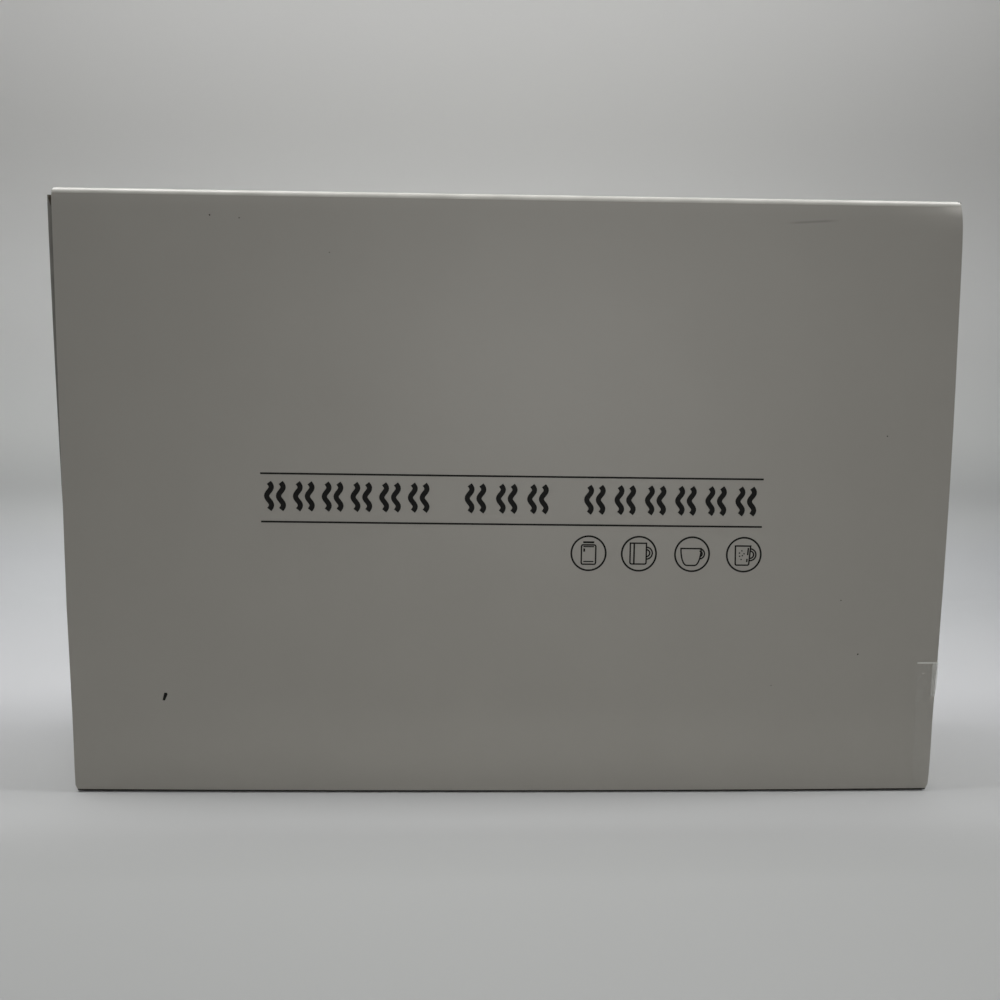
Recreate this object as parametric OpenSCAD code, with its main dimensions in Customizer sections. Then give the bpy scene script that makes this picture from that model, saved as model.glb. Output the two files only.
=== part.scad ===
// Boxed electric mug warmer. A corrugated carton with a large hinged lid, a die-cut foam insert,
// and the warmer itself with its heating plate, controls, electronics and power inlet.
// Millimetres, +Z up. The carton stands on its long edge with the printed lid facing -Y,
// and the origin is the middle of the carton's underside.

/* [Carton] */
// Width of the closed carton
carton_w = 190; // [182:1:215]
// Height of the closed carton
carton_h = 128.5; // [124:0.5:150]
// Depth of the closed carton, from the lid to the back panel
carton_d = 46; // [44:0.5:60]
// Thickness of the carton board
board_t = 0.8; // [0.6:0.05:1]
// Outer radius of the board's folds
fold_r = 1.3; // [1.1:0.1:1.8]
// Distance by which each raw edge of the lid stops short of the side wall
lid_inset = 0.3; // [0.2:0.1:0.8]
// Rounding of the lid's corners
lid_corner_r = 2; // [1:0.1:4]
// Length of the lid's tuck flap
tuck_len = 22; // [18:1:24]
// Lean of the tuck flap away from the bottom wall, in degrees
tuck_lean = 8; // [7.5:0.5:9]
// Length of each dust flap
dust_len = 36; // [28:1:42]
// Slope of a dust flap's upper edge, in degrees
dust_slope = 26; // [25:1:32]
// Length of each glue tab inside the corners
tab_len = 18; // [12:1:25]

/* [Seal] */
// Height of the clear seal tape
tape_h = 28; // [20:1:40]
// Width of tape that lies on the lid
tape_front = 4.4; // [3:0.2:8]
// Width of tape that lies on the side wall
tape_side = 14; // [8:1:20]
// Thickness of the tape
tape_t = 0.12; // [0.1:0.02:0.2]
// Height of the tape's lower edge
tape_z = 1.4; // [1:0.2:6]

/* [Foam insert] */
// Width of foam between the pocket and the outside of the insert
foam_margin = 8; // [7:0.5:9]
// Clearance between the warmer and its pocket
pocket_gap = 0.5; // [0.3:0.1:1]
// Rounding of the accessory bay's corners
bay_r = 8; // [4:1:12]
// Height of the channel that joins the bay to the power inlet
channel_h = 18; // [14:1:24]
// Radius of the finger notch
notch_r = 14; // [11:1:16]
// Thickness of the folded leaflet
leaflet_t = 1.6; // [0.8:0.2:3]

/* [Warmer housing] */
// Side of the square housing
warmer_s = 106; // [105:1:108]
// Corner radius of the housing, seen from above
corner_r = 26; // [22:1:28]
// Wall thickness of the housing
wall = 2.2; // [1.8:0.1:2.6]
// Height of the underside of the base above the surface that the feet stand on
base_z = 1.6; // [1.2:0.1:2.4]
// Height of the parting line between base and cover
split_z = 13.5; // [13:0.1:14]
// Height of the cover's upper face
cover_z = 25; // [24.8:0.1:27]
// Rounding of the housing's outer edges
edge_r = 2; // [1:0.25:3]
// Radius of a rubber foot
foot_r = 6; // [4:0.5:6.5]
// Distance of each foot from the middle of the base
foot_pitch = 31; // [29:0.5:32]
// Distance of each housing screw from the middle of the base
screw_pitch = 40; // [39:0.25:40.5]

/* [Heating plate] */
// Radius of the glass heating plate
plate_r = 41; // [38:0.5:41.5]
// Thickness of the glass heating plate
plate_t = 3.2; // [2.6:0.1:3.6]
// Height of the plate's face above the cover
plate_proud = 0.6; // [0.2:0.1:1]
// Distance of the plate's centre behind the middle of the housing
plate_y = 7; // [6:0.25:7.5]
// Thickness of the gasket's wall
gasket_t = 1.45; // [1:0.05:1.6]
// Radius of the heater
heater_r = 35; // [32:0.5:35.5]
// Thickness of the heater
heater_t = 1; // [0.6:0.1:1.4]
// Thickness of the insulation under the heater
felt_t = 2.7; // [2.4:0.1:3]
// Thickness of the metal shield
shield_t = 0.9; // [0.6:0.1:1.2]

/* [Controls] */
// Distance of the controls in front of the middle of the housing
control_y = 44; // [43.5:0.1:44.5]
// Distance of each button from the middle of the row
button_x = 20; // [18:0.5:21]
// Radius of a button cap
button_r = 4.6; // [4:0.1:4.8]
// Height of a button cap above the cover
button_proud = 0.9; // [0.8:0.1:1.4]
// Distance between the indicator lenses
lens_pitch = 7; // [5:0.5:7.5]
// Radius of an indicator lens
lens_r = 1.3; // [1:0.1:1.6]

/* [Electronics] */
// Thickness of the control board
board_pcb_t = 1.6; // [1:0.2:2]
// Half the width of the control board
pcb_half_w = 34; // [33:0.5:34.5]
// Length of the control board
pcb_len = 30; // [28:0.5:32]
// Width of the power inlet's metal shell
inlet_w = 8.94; // [8.9:0.02:9]
// Height of the power inlet's metal shell
inlet_h = 3.26; // [3.2:0.02:3.3]
// Length of the power inlet's metal shell
inlet_len = 7.4; // [7:0.1:9]
// Radius of an insulated wire
wire_r = 0.8; // [0.5:0.05:1]

/* [Hidden] */
$fn = 96;

// Small distances that recur in the carton
slip = 0.2;              // free play between two layers of board
crease_gap = 0.15;       // gap between the two panels of a fold
seam = 0.2;              // open seam at a corner of the walls
sill_inset = 0.5;        // distance of the bottom wall's raw edge behind the front
far = 400;               // longer than anything that it cuts

// Carton planes, from front to back and from the ground up
front = -carton_d / 2;
lid_back = front + board_t;
dust_front = lid_back + slip;
dust_back = dust_front + board_t;
back_in = carton_d / 2 - board_t;
side_in = carton_w / 2 - board_t;
top_in = carton_h - board_t;
bottom_in = board_t;
lid_bottom = bottom_in + crease_gap;
tuck_start = board_t + 0.35;          // the leaning flap begins clear of the lid's inner face
tuck_top = lid_bottom + tuck_len * sin(tuck_lean) + board_t;
rebate_top = tuck_top + 0.7;          // clear of the tuck flap's tip

// Height of the power inlet's axis, and half the space that a plug's moulding needs
inlet_z = 8.9;
plug_room = 4;

// Foam insert
foam_clear = 0.3;
foam_w = 2 * (side_in - board_t - foam_clear);
foam_bottom = bottom_in + foam_clear;
foam_top = top_in - foam_clear;
foam_front = dust_back + 0.8;
foam_back = back_in - foam_clear;
plate_recess = 2.5;                   // depth of the button caps below the front of the foam
seat_gap = 0.2;
warmer_h = cover_z + button_proud;
foam_split = foam_front + plate_recess + warmer_h + seat_gap;
rebate_y = front + tuck_len + 3;
pocket_s = warmer_s + 2 * pocket_gap;
pocket_r = corner_r + pocket_gap;
warmer_x = -foam_w / 2 + foam_margin + pocket_s / 2;
warmer_z = (rebate_top + foam_top) / 2;
seat_y = foam_split - seat_gap;
bay_left = warmer_x + pocket_s / 2 + foam_margin;
bay_right = foam_w / 2 - foam_margin;
bay_h = pocket_s - 6;
channel_front = foam_front - 1;
channel_y = seat_y - inlet_z + plug_room;
leaflet_inset = 2;
notch_reach = 5;                      // how far the finger notch reaches into the foam

// Housing
half = warmer_s / 2;
floor_z = base_z + wall;
inner = half - wall;
cover_t = wall + 0.2;
cover_in = cover_z - cover_t;
lip_h = 1.5;
lip_gap = 0.15;
lip_t = 1.05;
lip_root = 2.5;                       // height of the band that carries the lip on the wall
lip_out = inner - lip_gap;
lip_in = lip_out - lip_t;
foot_sink = 0.6;

// Heating stack, from the plate's face down
plate_top = cover_z + plate_proud;
plate_bottom = plate_top - plate_t;
touch = 0.05;                         // gap between faces that are pressed together
seat_r = plate_r + gasket_t + 0.15;
gasket_foot = 1;
seat_z = plate_bottom - touch - gasket_foot - touch;
ledge_t = 1.8;
ledge_r = heater_r + 1.6;
pot_r = seat_r + 1.8;
heater_bottom = plate_bottom - touch - heater_t;
felt_bottom = heater_bottom - touch - felt_t;
shield_top = felt_bottom - touch;
shield_bottom = shield_top - shield_t;
shield_r = heater_r + 0.5;
ear_reach = pot_r + 2.2;              // radius at which the shield's ears are screwed
ear_angles = [30, 150, 240, 300];
ear_r = 3;
shield_screw_r = 1.2;
shield_head_r = 2.1;
shield_head_h = 1.6;
well_r = 4;                           // hole in felt and shield for the leads and the sensor
fuse_r = 1.2;
fuse_len = 10;
fuse_y = -14;

// Screws and bosses that join base and cover
screw_r = 1.25;
screw_play = 0.05;
screw_head_r = 2.7;
screw_head_h = 1.8;
screw_sink = 4;                       // depth of the counterbore
boss_r = 3.2;
boss_wide_r = 4.3;
screw_top = cover_in - 2.2;

// Control board
pcb_z = 8;
pcb_top = pcb_z + board_pcb_t;
pcb_front = -(control_y + 5.5);
pcb_back = pcb_front + pcb_len;
post_r = 2.5;
post_x = pcb_half_w - 5;
post_ys = [pcb_front + 3.5, pcb_back - 4];
board_screw_r = 0.95;
board_head_r = 1.8;
board_head_h = 1.2;
board_screw_deep = 3;
parts_y = (pcb_front + pcb_back) / 2;     // row of the tall parts on the board
chip_x = 14;
transistor_xs = [-18, -9.5];
capacitor_x = -27;

// Buttons
button_gap = 0.25;
flange_r = button_r + 1.2;
flange_h = 1.2;
flange_top = cover_in - 0.1;
switch_s = 6;
switch_h = 3.5;
plunger_r = 1.6;
plunger_gap = 0.1;
plunger_top = pcb_top + switch_h + 0.9;
plunger_h = 2;
switch_well = 2.2;                    // depth of the plunger's well in the switch
button_xs = [-button_x, button_x];    // power, then level

// Indicators
led_w = 3;
led_l = 1.6;
led_h = 0.8;
lens_xs = [-lens_pitch, 0, lens_pitch];

// Power inlet and wires
inlet_board_t = 1.2;
inlet_board_w = 18;
inlet_board_len = 15;
inlet_board_top = inlet_z - inlet_h / 2 - touch;
inlet_board_back = inner - 1.4;
inlet_face = half - 0.8;
inlet_wall_t = 0.3;
inlet_play = 0.3;
plug_recess = 1.1;
terminal = [11, 6, 4];
terminal_y = pcb_back - 9;
heater_lead_x = 2.6;
supply_lead_x = 7.5;
lead_z = pcb_top + 2.4;
bend_r = 2.4;

/* ---- helpers ---- */

// A block between two corners
module block(lo, hi) {
    translate(lo) cube(hi - lo);
}

// A flat rectangle with round corners, centred
module rounded_rect(size, r) {
    square([size[0] - 2 * r, size[1]], center = true);
    square([size[0], size[1] - 2 * r], center = true);
    for (x = [-1, 1], y = [-1, 1])
        translate([x * (size[0] / 2 - r), y * (size[1] / 2 - r)]) circle(r);
}

// A square slab with round corners between two heights
module slab(size, r, z0, z1) {
    translate([0, 0, z0]) linear_extrude(z1 - z0) rounded_rect([size, size], r);
}

// A slab whose upper outer edge, or lower one, is rounded to radius e
module soft_slab(size, r, z0, z1, e, up = true) {
    ring_z = up ? z1 - e : z0 + e;
    side = size / 2;
    slab(size, r, up ? z0 : ring_z, up ? ring_z : z1);
    slab(size - 2 * e, r - e, up ? ring_z : z0, up ? z1 : ring_z);
    for (k = [0:3]) rotate([0, 0, 90 * k]) {
        translate([side - e, r - side, ring_z]) rotate([-90, 0, 0]) cylinder(r = e, h = size - 2 * r);
        translate([side - r, side - r, ring_z]) rotate_extrude(angle = 90) translate([r - e, 0]) circle(e);
    }
}

// A tube between two heights
module ring(r_out, r_in, z0, z1) {
    translate([0, 0, z0]) difference() {
        cylinder(r = r_out, h = z1 - z0);
        translate([0, 0, -1]) cylinder(r = r_in, h = z1 - z0 + 2);
    }
}

// A rod between two heights
module rod(r, z0, z1) {
    translate([0, 0, z0]) cylinder(r = r, h = z1 - z0);
}

function unit(v) = v / norm(v);
function turned(v, a) = [v[0] * cos(a) - v[1] * sin(a), v[0] * sin(a) + v[1] * cos(a)];

// Points of a corner at p, rounded to radius r, between the neighbours a and b of a clockwise or
// anticlockwise outline
function round_corner(a, p, b, r, steps = 10) =
    let (u = unit(a - p), v = unit(b - p), bend = acos(u * v), reach = r / tan(bend / 2),
         centre = p + unit(u + v) * r / sin(bend / 2), start = p + u * reach - centre,
         way = u[0] * v[1] - u[1] * v[0] > 0 ? -1 : 1)
    r == 0 ? [p] : [for (i = [0:steps]) centre + turned(start, way * (180 - bend) * i / steps)];

// The outline through pts with each corner i rounded to radii[i]
function round_outline(pts, radii) =
    let (n = len(pts))
    [for (i = [0:n - 1]) each round_corner(pts[(i + n - 1) % n], pts[i], pts[(i + 1) % n], radii[i])];

// Places children, made lying flat on the feet with the controls towards -Y, in the foam pocket
module in_pocket() {
    translate([warmer_x, seat_y, warmer_z]) rotate([90, 0, 0]) rotate([0, 0, -90]) children();
}

// Children at the four points of a square pattern
module at_four(pitch) {
    for (x = [-pitch, pitch], y = [-pitch, pitch]) translate([x, y, 0]) children();
}

/* ---- carton ---- */

// Back panel and four walls, folded from one sheet. Each corner where two walls meet is an open seam.
module carton_body() {
    color("#b4b1aa") difference() {
        intersection() {
            rotate([90, 0, 90]) linear_extrude(carton_w, center = true) body_from_side();
            linear_extrude(carton_h) body_from_above();
        }
        block([-side_in, -far, bottom_in], [side_in, back_in, top_in]);
        for (x = [-side_in, side_in - seam]) {
            block([x, -far, -1], [x + seam, back_in, bottom_in + 1]);
            block([x, -far, top_in - 1], [x + seam, back_in, carton_h + 1]);
        }
    }
}

// Outline of the body seen from the side. The top wall ends at the lid's crease, and the bottom wall
// ends in a raw edge under the lid.
module body_from_side() {
    difference() {
        union() {
            translate([0, carton_h / 2]) rounded_rect([carton_d, carton_h], fold_r);
            translate([front, 0]) square([carton_d / 2, carton_h / 2]);
        }
        translate([front - 1, -1]) square([1 + sill_inset, far]);
        translate([front - 1, carton_h / 2]) square([1 + board_t + crease_gap, far]);
    }
}

// Outline of the body seen from above. The side walls end at the creases of the dust flaps.
module body_from_above() {
    wall_front = dust_back + crease_gap;
    difference() {
        translate([0, (dust_front + carton_d / 2) / 2])
            rounded_rect([carton_w, carton_d / 2 - dust_front], fold_r);
        translate([-far, wall_front - far]) square([far - side_in, far]);
        translate([side_in, wall_front - far]) square([far, far]);
    }
    translate([-side_in, front]) square([2 * side_in, carton_d - board_t]);
}

// Four tabs glued inside the side walls, two from the top wall and two from the bottom wall
module glue_tabs() {
    color("#a39a8b") for (x = [-side_in, side_in - board_t], z = [rebate_top, top_in - tab_len])
        block([x, foam_front, z], [x + board_t, back_in - 1, z + tab_len]);
}

// Printed front panel, hinged to the top wall. Its upper and lower ends are rounded folds.
module lid_panel() {
    lid_h = carton_h - lid_bottom;
    color("#b4b1aa") intersection() {
        translate([0, lid_back, lid_bottom + lid_h / 2]) rotate([90, 0, 0]) linear_extrude(board_t)
            rounded_rect([carton_w - 2 * lid_inset, lid_h], lid_corner_r);
        translate([0, front + fold_r, lid_bottom + lid_h / 2]) rotate([90, 0, 90])
            linear_extrude(far, center = true) rounded_rect([2 * fold_r, lid_h], fold_r - 0.01);
    }
}

// Flap at the lid's lower edge, tucked in above the bottom wall
module tuck_flap() {
    root_w = 2 * side_in - 4;
    tip_w = root_w - 12;
    shoulder = tuck_len * 0.3;
    outline = round_outline([[-root_w / 2, tuck_start], [root_w / 2, tuck_start], [root_w / 2, shoulder],
                             [tip_w / 2, tuck_len], [-tip_w / 2, tuck_len], [-root_w / 2, shoulder]],
                            [0, 0, 4, 6, 6, 4]);
    color("#b4b1aa") translate([0, front, lid_bottom]) rotate([tuck_lean, 0, 0])
        linear_extrude(board_t) polygon(outline);
}

// Flap that folds in from the left wall, behind the lid. Its outer edge is the rounded fold.
module dust_flap() {
    top = top_in - 4;
    bottom = rebate_top;
    rise = 6;
    tip_x = -carton_w / 2 + dust_len;
    outline = round_outline([[-carton_w / 2, bottom], [tip_x, bottom + rise],
                             [tip_x, top - dust_len * tan(dust_slope)], [-carton_w / 2, top]], [0, 9, 9, 0]);
    color("#b4b1aa") intersection() {
        translate([0, dust_back, 0]) rotate([90, 0, 0]) linear_extrude(board_t) polygon(outline);
        union() {
            block([fold_r - carton_w / 2, -far, 0], [0, far, carton_h]);
            translate([fold_r - carton_w / 2, dust_front + fold_r, 0]) cylinder(r = fold_r, h = carton_h);
        }
    }
}

module dust_flap_left() {
    dust_flap();
}

module dust_flap_right() {
    mirror([1, 0, 0]) dust_flap();
}

// Clear tape that holds the lid's lower right edge to the side wall
module seal_tape() {
    lay = 0.04;
    outside = carton_w / 2 + lay;
    face = front - lay;
    color([0.9, 0.92, 0.92, 0.4]) union() {
        block([outside - tape_front, face - tape_t, tape_z], [outside + tape_t, face, tape_z + tape_h]);
        block([outside, face - tape_t, tape_z], [outside + tape_t, face + tape_side, tape_z + tape_h]);
    }
}

/* ---- foam insert and leaflet ---- */

// Solid sheet behind the cradle, which the warmer's feet stand on
module foam_base() {
    color("#f2f2ee") block([-foam_w / 2, foam_split, foam_bottom], [foam_w / 2, foam_back, foam_top]);
}

// Thick sheet with a pocket for the warmer, a bay for the accessories and a channel between them
module foam_cradle() {
    depth = foam_split - foam_front;
    color("#f6f6f2") difference() {
        block([-foam_w / 2, foam_front, foam_bottom], [foam_w / 2, foam_split, foam_top]);
        translate([0, foam_split + 1, warmer_z]) rotate([90, 0, 0]) linear_extrude(depth + 2) {
            translate([warmer_x, 0]) rounded_rect([pocket_s, pocket_s], pocket_r);
            translate([(bay_left + bay_right) / 2, 0]) rounded_rect([bay_right - bay_left, bay_h], bay_r);
            translate([warmer_x - pocket_s / 2 + notch_r - notch_reach, 0]) circle(notch_r);
        }
        block([warmer_x, channel_front, warmer_z - channel_h / 2],
              [bay_left + bay_r, channel_y, warmer_z + channel_h / 2]);
        block([-foam_w, foam_front - 1, -1], [foam_w, rebate_y, rebate_top]);
    }
}

// Folded instruction leaflet on the floor of the accessory bay
module leaflet() {
    leaf_w = bay_right - bay_left - 2 * leaflet_inset;
    leaf_h = bay_h - 2 * leaflet_inset - 4;
    color("#f4f3ee") translate([(bay_left + bay_right) / 2, seat_y, warmer_z]) rotate([90, 0, 0])
        linear_extrude(leaflet_t) square([leaf_w, leaf_h], center = true);
}

/* ---- warmer housing ---- */

// Lower shell with foot recesses, screw bosses, board posts, vents and the inlet's opening
module base_housing() {
    color("#3b3d40") in_pocket() difference() {
        union() {
            difference() {
                soft_slab(warmer_s, corner_r, base_z, split_z, edge_r, up = false);
                slab(2 * inner, corner_r - wall, floor_z, split_z + 1);
            }
            base_lip();
            at_four(screw_pitch) {
                rod(boss_wide_r, floor_z - 0.5, base_z + screw_sink + 2);
                rod(boss_r, floor_z - 0.5, split_z - 0.1);
            }
            board_posts() rod(post_r, floor_z - 0.5, pcb_z);
            inlet_posts() rod(post_r, floor_z - 0.5, inlet_board_top - inlet_board_t);
        }
        at_four(foot_pitch) rod(foot_r + 0.2, base_z - 1, base_z + foot_sink);
        at_four(screw_pitch) {
            rod(screw_r + 0.35, base_z - 1, split_z);
            rod(screw_head_r + 0.3, base_z - 1, base_z + screw_sink);
        }
        board_posts() rod(board_screw_r + screw_play, pcb_z - board_screw_deep - 0.5, pcb_z + 1);
        vents();
        inlet_opening();
    }
}

// Rim of the base that locates inside the cover
module base_lip() {
    lip_z = split_z - lip_root;
    difference() {
        union() {
            slab(2 * lip_out, corner_r - (half - lip_out), lip_z, split_z + lip_h);
            slab(2 * inner + 0.5, corner_r - wall + 0.25, lip_z, split_z);
        }
        slab(2 * lip_in, corner_r - (half - lip_in), lip_z - 1, split_z + lip_h + 1);
    }
}

// Positions of the four posts under the control board
module board_posts() {
    for (x = [-post_x, post_x], y = post_ys) translate([x, y, 0]) children();
}

// Positions of the two posts under the inlet's board
module inlet_posts() {
    for (x = [-1, 1]) translate([x * (inlet_board_w / 2 - 3), inlet_face - inlet_len - 3, 0]) children();
}

// Rows of slots in the floor under the heater
module vents() {
    slot_w = 2.4;
    for (row = [-2:2]) translate([row * 9, plate_y, base_z - 1]) linear_extrude(wall + 2)
        rounded_rect([slot_w, 24 - 3 * abs(row)], slot_w / 2 - 0.01);
}

// Hole for the inlet's shell, and the recess around it for a plug's moulding
module inlet_opening() {
    hole_w = inlet_w + 2 * inlet_play;
    hole_h = inlet_h + 2 * inlet_play;
    translate([0, half, inlet_z]) rotate([90, 0, 0]) {
        translate([0, 0, -1]) linear_extrude(1 + plug_recess)
            rounded_rect([inlet_w + 4.2, inlet_h + 4.2], (inlet_h + 4.2) / 2 - 0.01);
        linear_extrude(half - lip_in + 1)
            rounded_rect([hole_w, hole_h], hole_h / 2 - 0.01);
    }
}

// Upper shell with the plate's seat, the button holes, the lens holes and the bosses
module top_cover() {
    color("#45474a") in_pocket() difference() {
        union() {
            difference() {
                soft_slab(warmer_s, corner_r, split_z, cover_z, edge_r, up = true);
                slab(2 * inner, corner_r - wall, split_z - 1, cover_in);
            }
            intersection() {
                translate([0, plate_y, 0]) rod(pot_r, seat_z - ledge_t, cover_z - 0.5);
                slab(2 * inner + 1, corner_r - wall + 0.5, 0, cover_z);
            }
            at_four(screw_pitch) rod(boss_r, split_z + 0.1, cover_in + 0.5);
            at_ears() rod(ear_r - 0.2, shield_top, cover_in + 0.5);
        }
        translate([0, plate_y, 0]) {
            rod(seat_r, seat_z, cover_z + 1);
            rod(ledge_r, seat_z - ledge_t - 1, seat_z + 1);
        }
        at_four(screw_pitch) rod(screw_r + screw_play, split_z, screw_top + 0.5);
        at_ears() rod(shield_screw_r + screw_play, shield_top - 1, cover_in - 0.4);
        for (x = button_xs) translate([x, -control_y, 0])
            rod(button_r + button_gap, cover_in - 1, cover_z + 1);
        for (x = lens_xs) translate([x, -control_y, 0])
            rod(lens_r + touch, cover_in - 1, cover_z + 1);
    }
}

// Positions of the four ears that hold the heat shield
module at_ears() {
    for (a = ear_angles) translate([ear_reach * cos(a), plate_y + ear_reach * sin(a), 0]) children();
}

// Four feet, each in its recess
module rubber_feet() {
    color("#1b1c1e") in_pocket() at_four(foot_pitch) {
        rod(foot_r, 0.8, base_z + foot_sink - touch);
        rod(foot_r - 0.8, 0, 0.8);
    }
}

// Four screws that hold base and cover together
module housing_screws() {
    color("#8f9296") in_pocket() at_four(screw_pitch) difference() {
        union() {
            rod(screw_r, base_z + screw_sink - 0.5, screw_top);
            rod(screw_head_r, base_z + screw_sink - screw_head_h, base_z + screw_sink - touch);
        }
        cross_recess(base_z + screw_sink - screw_head_h, 1);
    }
}

// Cross-shaped recess in a screw head at height z that is cut upwards
module cross_recess(z, deep) {
    arm = 1.4;
    half_slot = 0.35;
    for (a = [0, 90]) rotate([0, 0, a]) block([-arm, -half_slot, z - 1], [arm, half_slot, z + deep]);
}

/* ---- heating stack ---- */

// Glass disc that a mug stands on, with a bevelled rim
module heating_plate() {
    bevel = 0.4;
    color("#16181b") in_pocket() translate([0, plate_y, 0]) {
        rod(plate_r, plate_bottom, plate_top - bevel);
        translate([0, 0, plate_top - bevel]) cylinder(r1 = plate_r, r2 = plate_r - bevel, h = bevel);
    }
}

// Silicone ring that seals the plate in its seat
module plate_gasket() {
    color("#8d9196") in_pocket() translate([0, plate_y, 0]) {
        ring(plate_r + touch + gasket_t, plate_r + touch, seat_z + touch, cover_z - 0.1);
        ring(plate_r + touch + gasket_t, ledge_r + 0.4, seat_z + touch, seat_z + touch + gasket_foot);
    }
}

// Mica heater pressed against the underside of the plate
module heater_disc() {
    color("#b9a27c") in_pocket() translate([0, plate_y, 0])
        rod(heater_r, heater_bottom, heater_bottom + heater_t);
}

// Felt that keeps the heat away from the housing, with a well for the leads and a slot for the fuse
module insulation_felt() {
    color("#e9e4d6") in_pocket() translate([0, plate_y, 0]) difference() {
        rod(heater_r, felt_bottom, felt_bottom + felt_t);
        rod(well_r, felt_bottom - 1, felt_bottom + felt_t + 1);
        block([-fuse_len / 2 - 0.5, fuse_y - fuse_r - 0.2, felt_bottom - 1],
              [fuse_len / 2 + 0.5, fuse_y + fuse_r + 0.2, felt_bottom + felt_t + 1]);
    }
}

// Pressed metal dish that holds the felt and the heater up against the plate
module heat_shield() {
    color("#c9ccd0") in_pocket() difference() {
        union() {
            translate([0, plate_y, 0]) rod(shield_r, shield_bottom, shield_top);
            for (a = ear_angles) translate([0, plate_y, 0]) rotate([0, 0, a])
                block([shield_r - 2, 0.5 - ear_r, shield_bottom], [ear_reach, ear_r - 0.5, shield_top]);
            at_ears() rod(ear_r, shield_bottom, shield_top);
        }
        translate([0, plate_y, 0]) rod(well_r, shield_bottom - 1, shield_top + 1);
        at_ears() rod(shield_screw_r + 0.15, shield_bottom - 1, shield_top + 1);
    }
}

// Four screws that hold the shield to the cover
module shield_screws() {
    color("#a5a8ac") in_pocket() at_ears() difference() {
        union() {
            rod(shield_screw_r, shield_bottom - 0.5, cover_in - 0.8);
            rod(shield_head_r, shield_bottom - touch - shield_head_h, shield_bottom - touch);
        }
        cross_recess(shield_bottom - touch - shield_head_h, 0.8);
    }
}

// Sensor bead in the middle of the felt, touching the heater
module temperature_sensor() {
    bead_r = 1.2;
    color("#2d5d3c") in_pocket() translate([0, plate_y, 0])
        rod(bead_r, felt_bottom + 0.6, heater_bottom - touch);
}

// Fuse lying in its slot in the felt
module thermal_fuse() {
    color("#d7dade") in_pocket() translate([-fuse_len / 2, plate_y + fuse_y, heater_bottom - touch - fuse_r])
        rotate([0, 90, 0]) cylinder(r = fuse_r, h = fuse_len);
}

/* ---- electronics ---- */

// Main board on its four posts
module control_board() {
    color("#1f6b45") in_pocket() difference() {
        block([-pcb_half_w, pcb_front, pcb_z + touch], [pcb_half_w, pcb_back, pcb_top]);
        board_posts() rod(board_screw_r + 0.15, pcb_z - 1, pcb_top + 1);
        // Round corners at the front clear the housing's own corners
        for (x = [-1, 1]) translate([x * (pcb_half_w - 3), pcb_front + 3, 0]) difference() {
            block([-3.5 + 3.5 * x, -6, pcb_z - 1], [3.5 + 3.5 * x, 0, pcb_top + 1]);
            rod(3, pcb_z - 2, pcb_top + 2);
        }
    }
}

// Four screws that hold the main board
module board_screws() {
    color("#a5a8ac") in_pocket() board_posts() {
        rod(board_screw_r, pcb_z - board_screw_deep, pcb_top + touch);
        rod(board_head_r, pcb_top + touch, pcb_top + board_head_h);
    }
}

// Controller in a square package
module controller_chip() {
    color("#1c1c1e") in_pocket() translate([chip_x, parts_y, pcb_top + touch]) linear_extrude(1.2)
        square([7, 7], center = true);
}

// Two transistors that switch the heater
module power_transistors() {
    color("#26272a") in_pocket() for (x = transistor_xs) translate([x, parts_y, pcb_top + touch])
        linear_extrude(2.3) square([6.5, 6], center = true);
}

// Electrolytic capacitor beside the transistors
module filter_capacitor() {
    color("#2b3f7a") in_pocket() translate([capacitor_x, parts_y, 0]) rod(4, pcb_top + touch, pcb_top + 5);
}

// Terminal block that the heater's leads end in
module lead_terminal() {
    color("#e7e4da") in_pocket() translate([0, terminal_y, pcb_top + touch]) linear_extrude(terminal[2])
        square([terminal[0], terminal[1]], center = true);
}

// Two leads from the heater, down through the well and along to the back of the terminal block
module heater_leads() {
    lead_end = terminal_y + terminal[1] / 2 + touch;
    color("#c23b2e") in_pocket() for (x = [-heater_lead_x, heater_lead_x]) translate([x, plate_y, 0]) {
        rod(wire_r, lead_z + bend_r, heater_bottom - touch);
        translate([0, -bend_r, lead_z + bend_r]) rotate([90, 0, 90]) rotate([0, 0, -90])
            rotate_extrude(angle = 90) translate([bend_r, 0]) circle(wire_r);
        translate([0, -bend_r, lead_z]) rotate([90, 0, 0])
            cylinder(r = wire_r, h = plate_y - bend_r - lead_end);
    }
}

// Two leads from the inlet's board to the main board
module supply_leads() {
    start_y = inlet_face - inlet_len - 4;
    end_y = pcb_back - 3;
    color("#33363a") in_pocket() for (x = [-supply_lead_x, supply_lead_x]) translate([x, 0, 0]) {
        translate([0, start_y, 0]) rod(wire_r, inlet_board_top + touch, lead_z);
        translate([0, end_y, 0]) rod(wire_r, pcb_top + touch, lead_z);
        translate([0, start_y, lead_z]) rotate([90, 0, 0]) cylinder(r = wire_r, h = start_y - end_y);
        for (y = [start_y, end_y]) translate([0, y, lead_z]) sphere(wire_r);
    }
}

// Small board that carries the power inlet
module inlet_board() {
    side = inlet_board_w / 2;
    bottom = inlet_board_top - inlet_board_t + touch;
    color("#1f6b45") in_pocket() block([-side, inlet_board_back - inlet_board_len, bottom],
                                       [side, inlet_board_back, inlet_board_top]);
}

// Metal shell and tongue of the power inlet
module inlet_socket() {
    color("#c4c7cb") in_pocket() translate([0, inlet_face, inlet_z]) rotate([90, 0, 0]) {
        difference() {
            linear_extrude(inlet_len) rounded_rect([inlet_w, inlet_h], inlet_h / 2 - 0.01);
            translate([0, 0, -1]) linear_extrude(inlet_len)
                rounded_rect([inlet_w - 2 * inlet_wall_t, inlet_h - 2 * inlet_wall_t],
                             inlet_h / 2 - inlet_wall_t - 0.01);
        }
        translate([0, 0, 1]) linear_extrude(inlet_len - 1.2) square([6.7, 0.7], center = true);
    }
}

/* ---- controls ---- */

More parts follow.
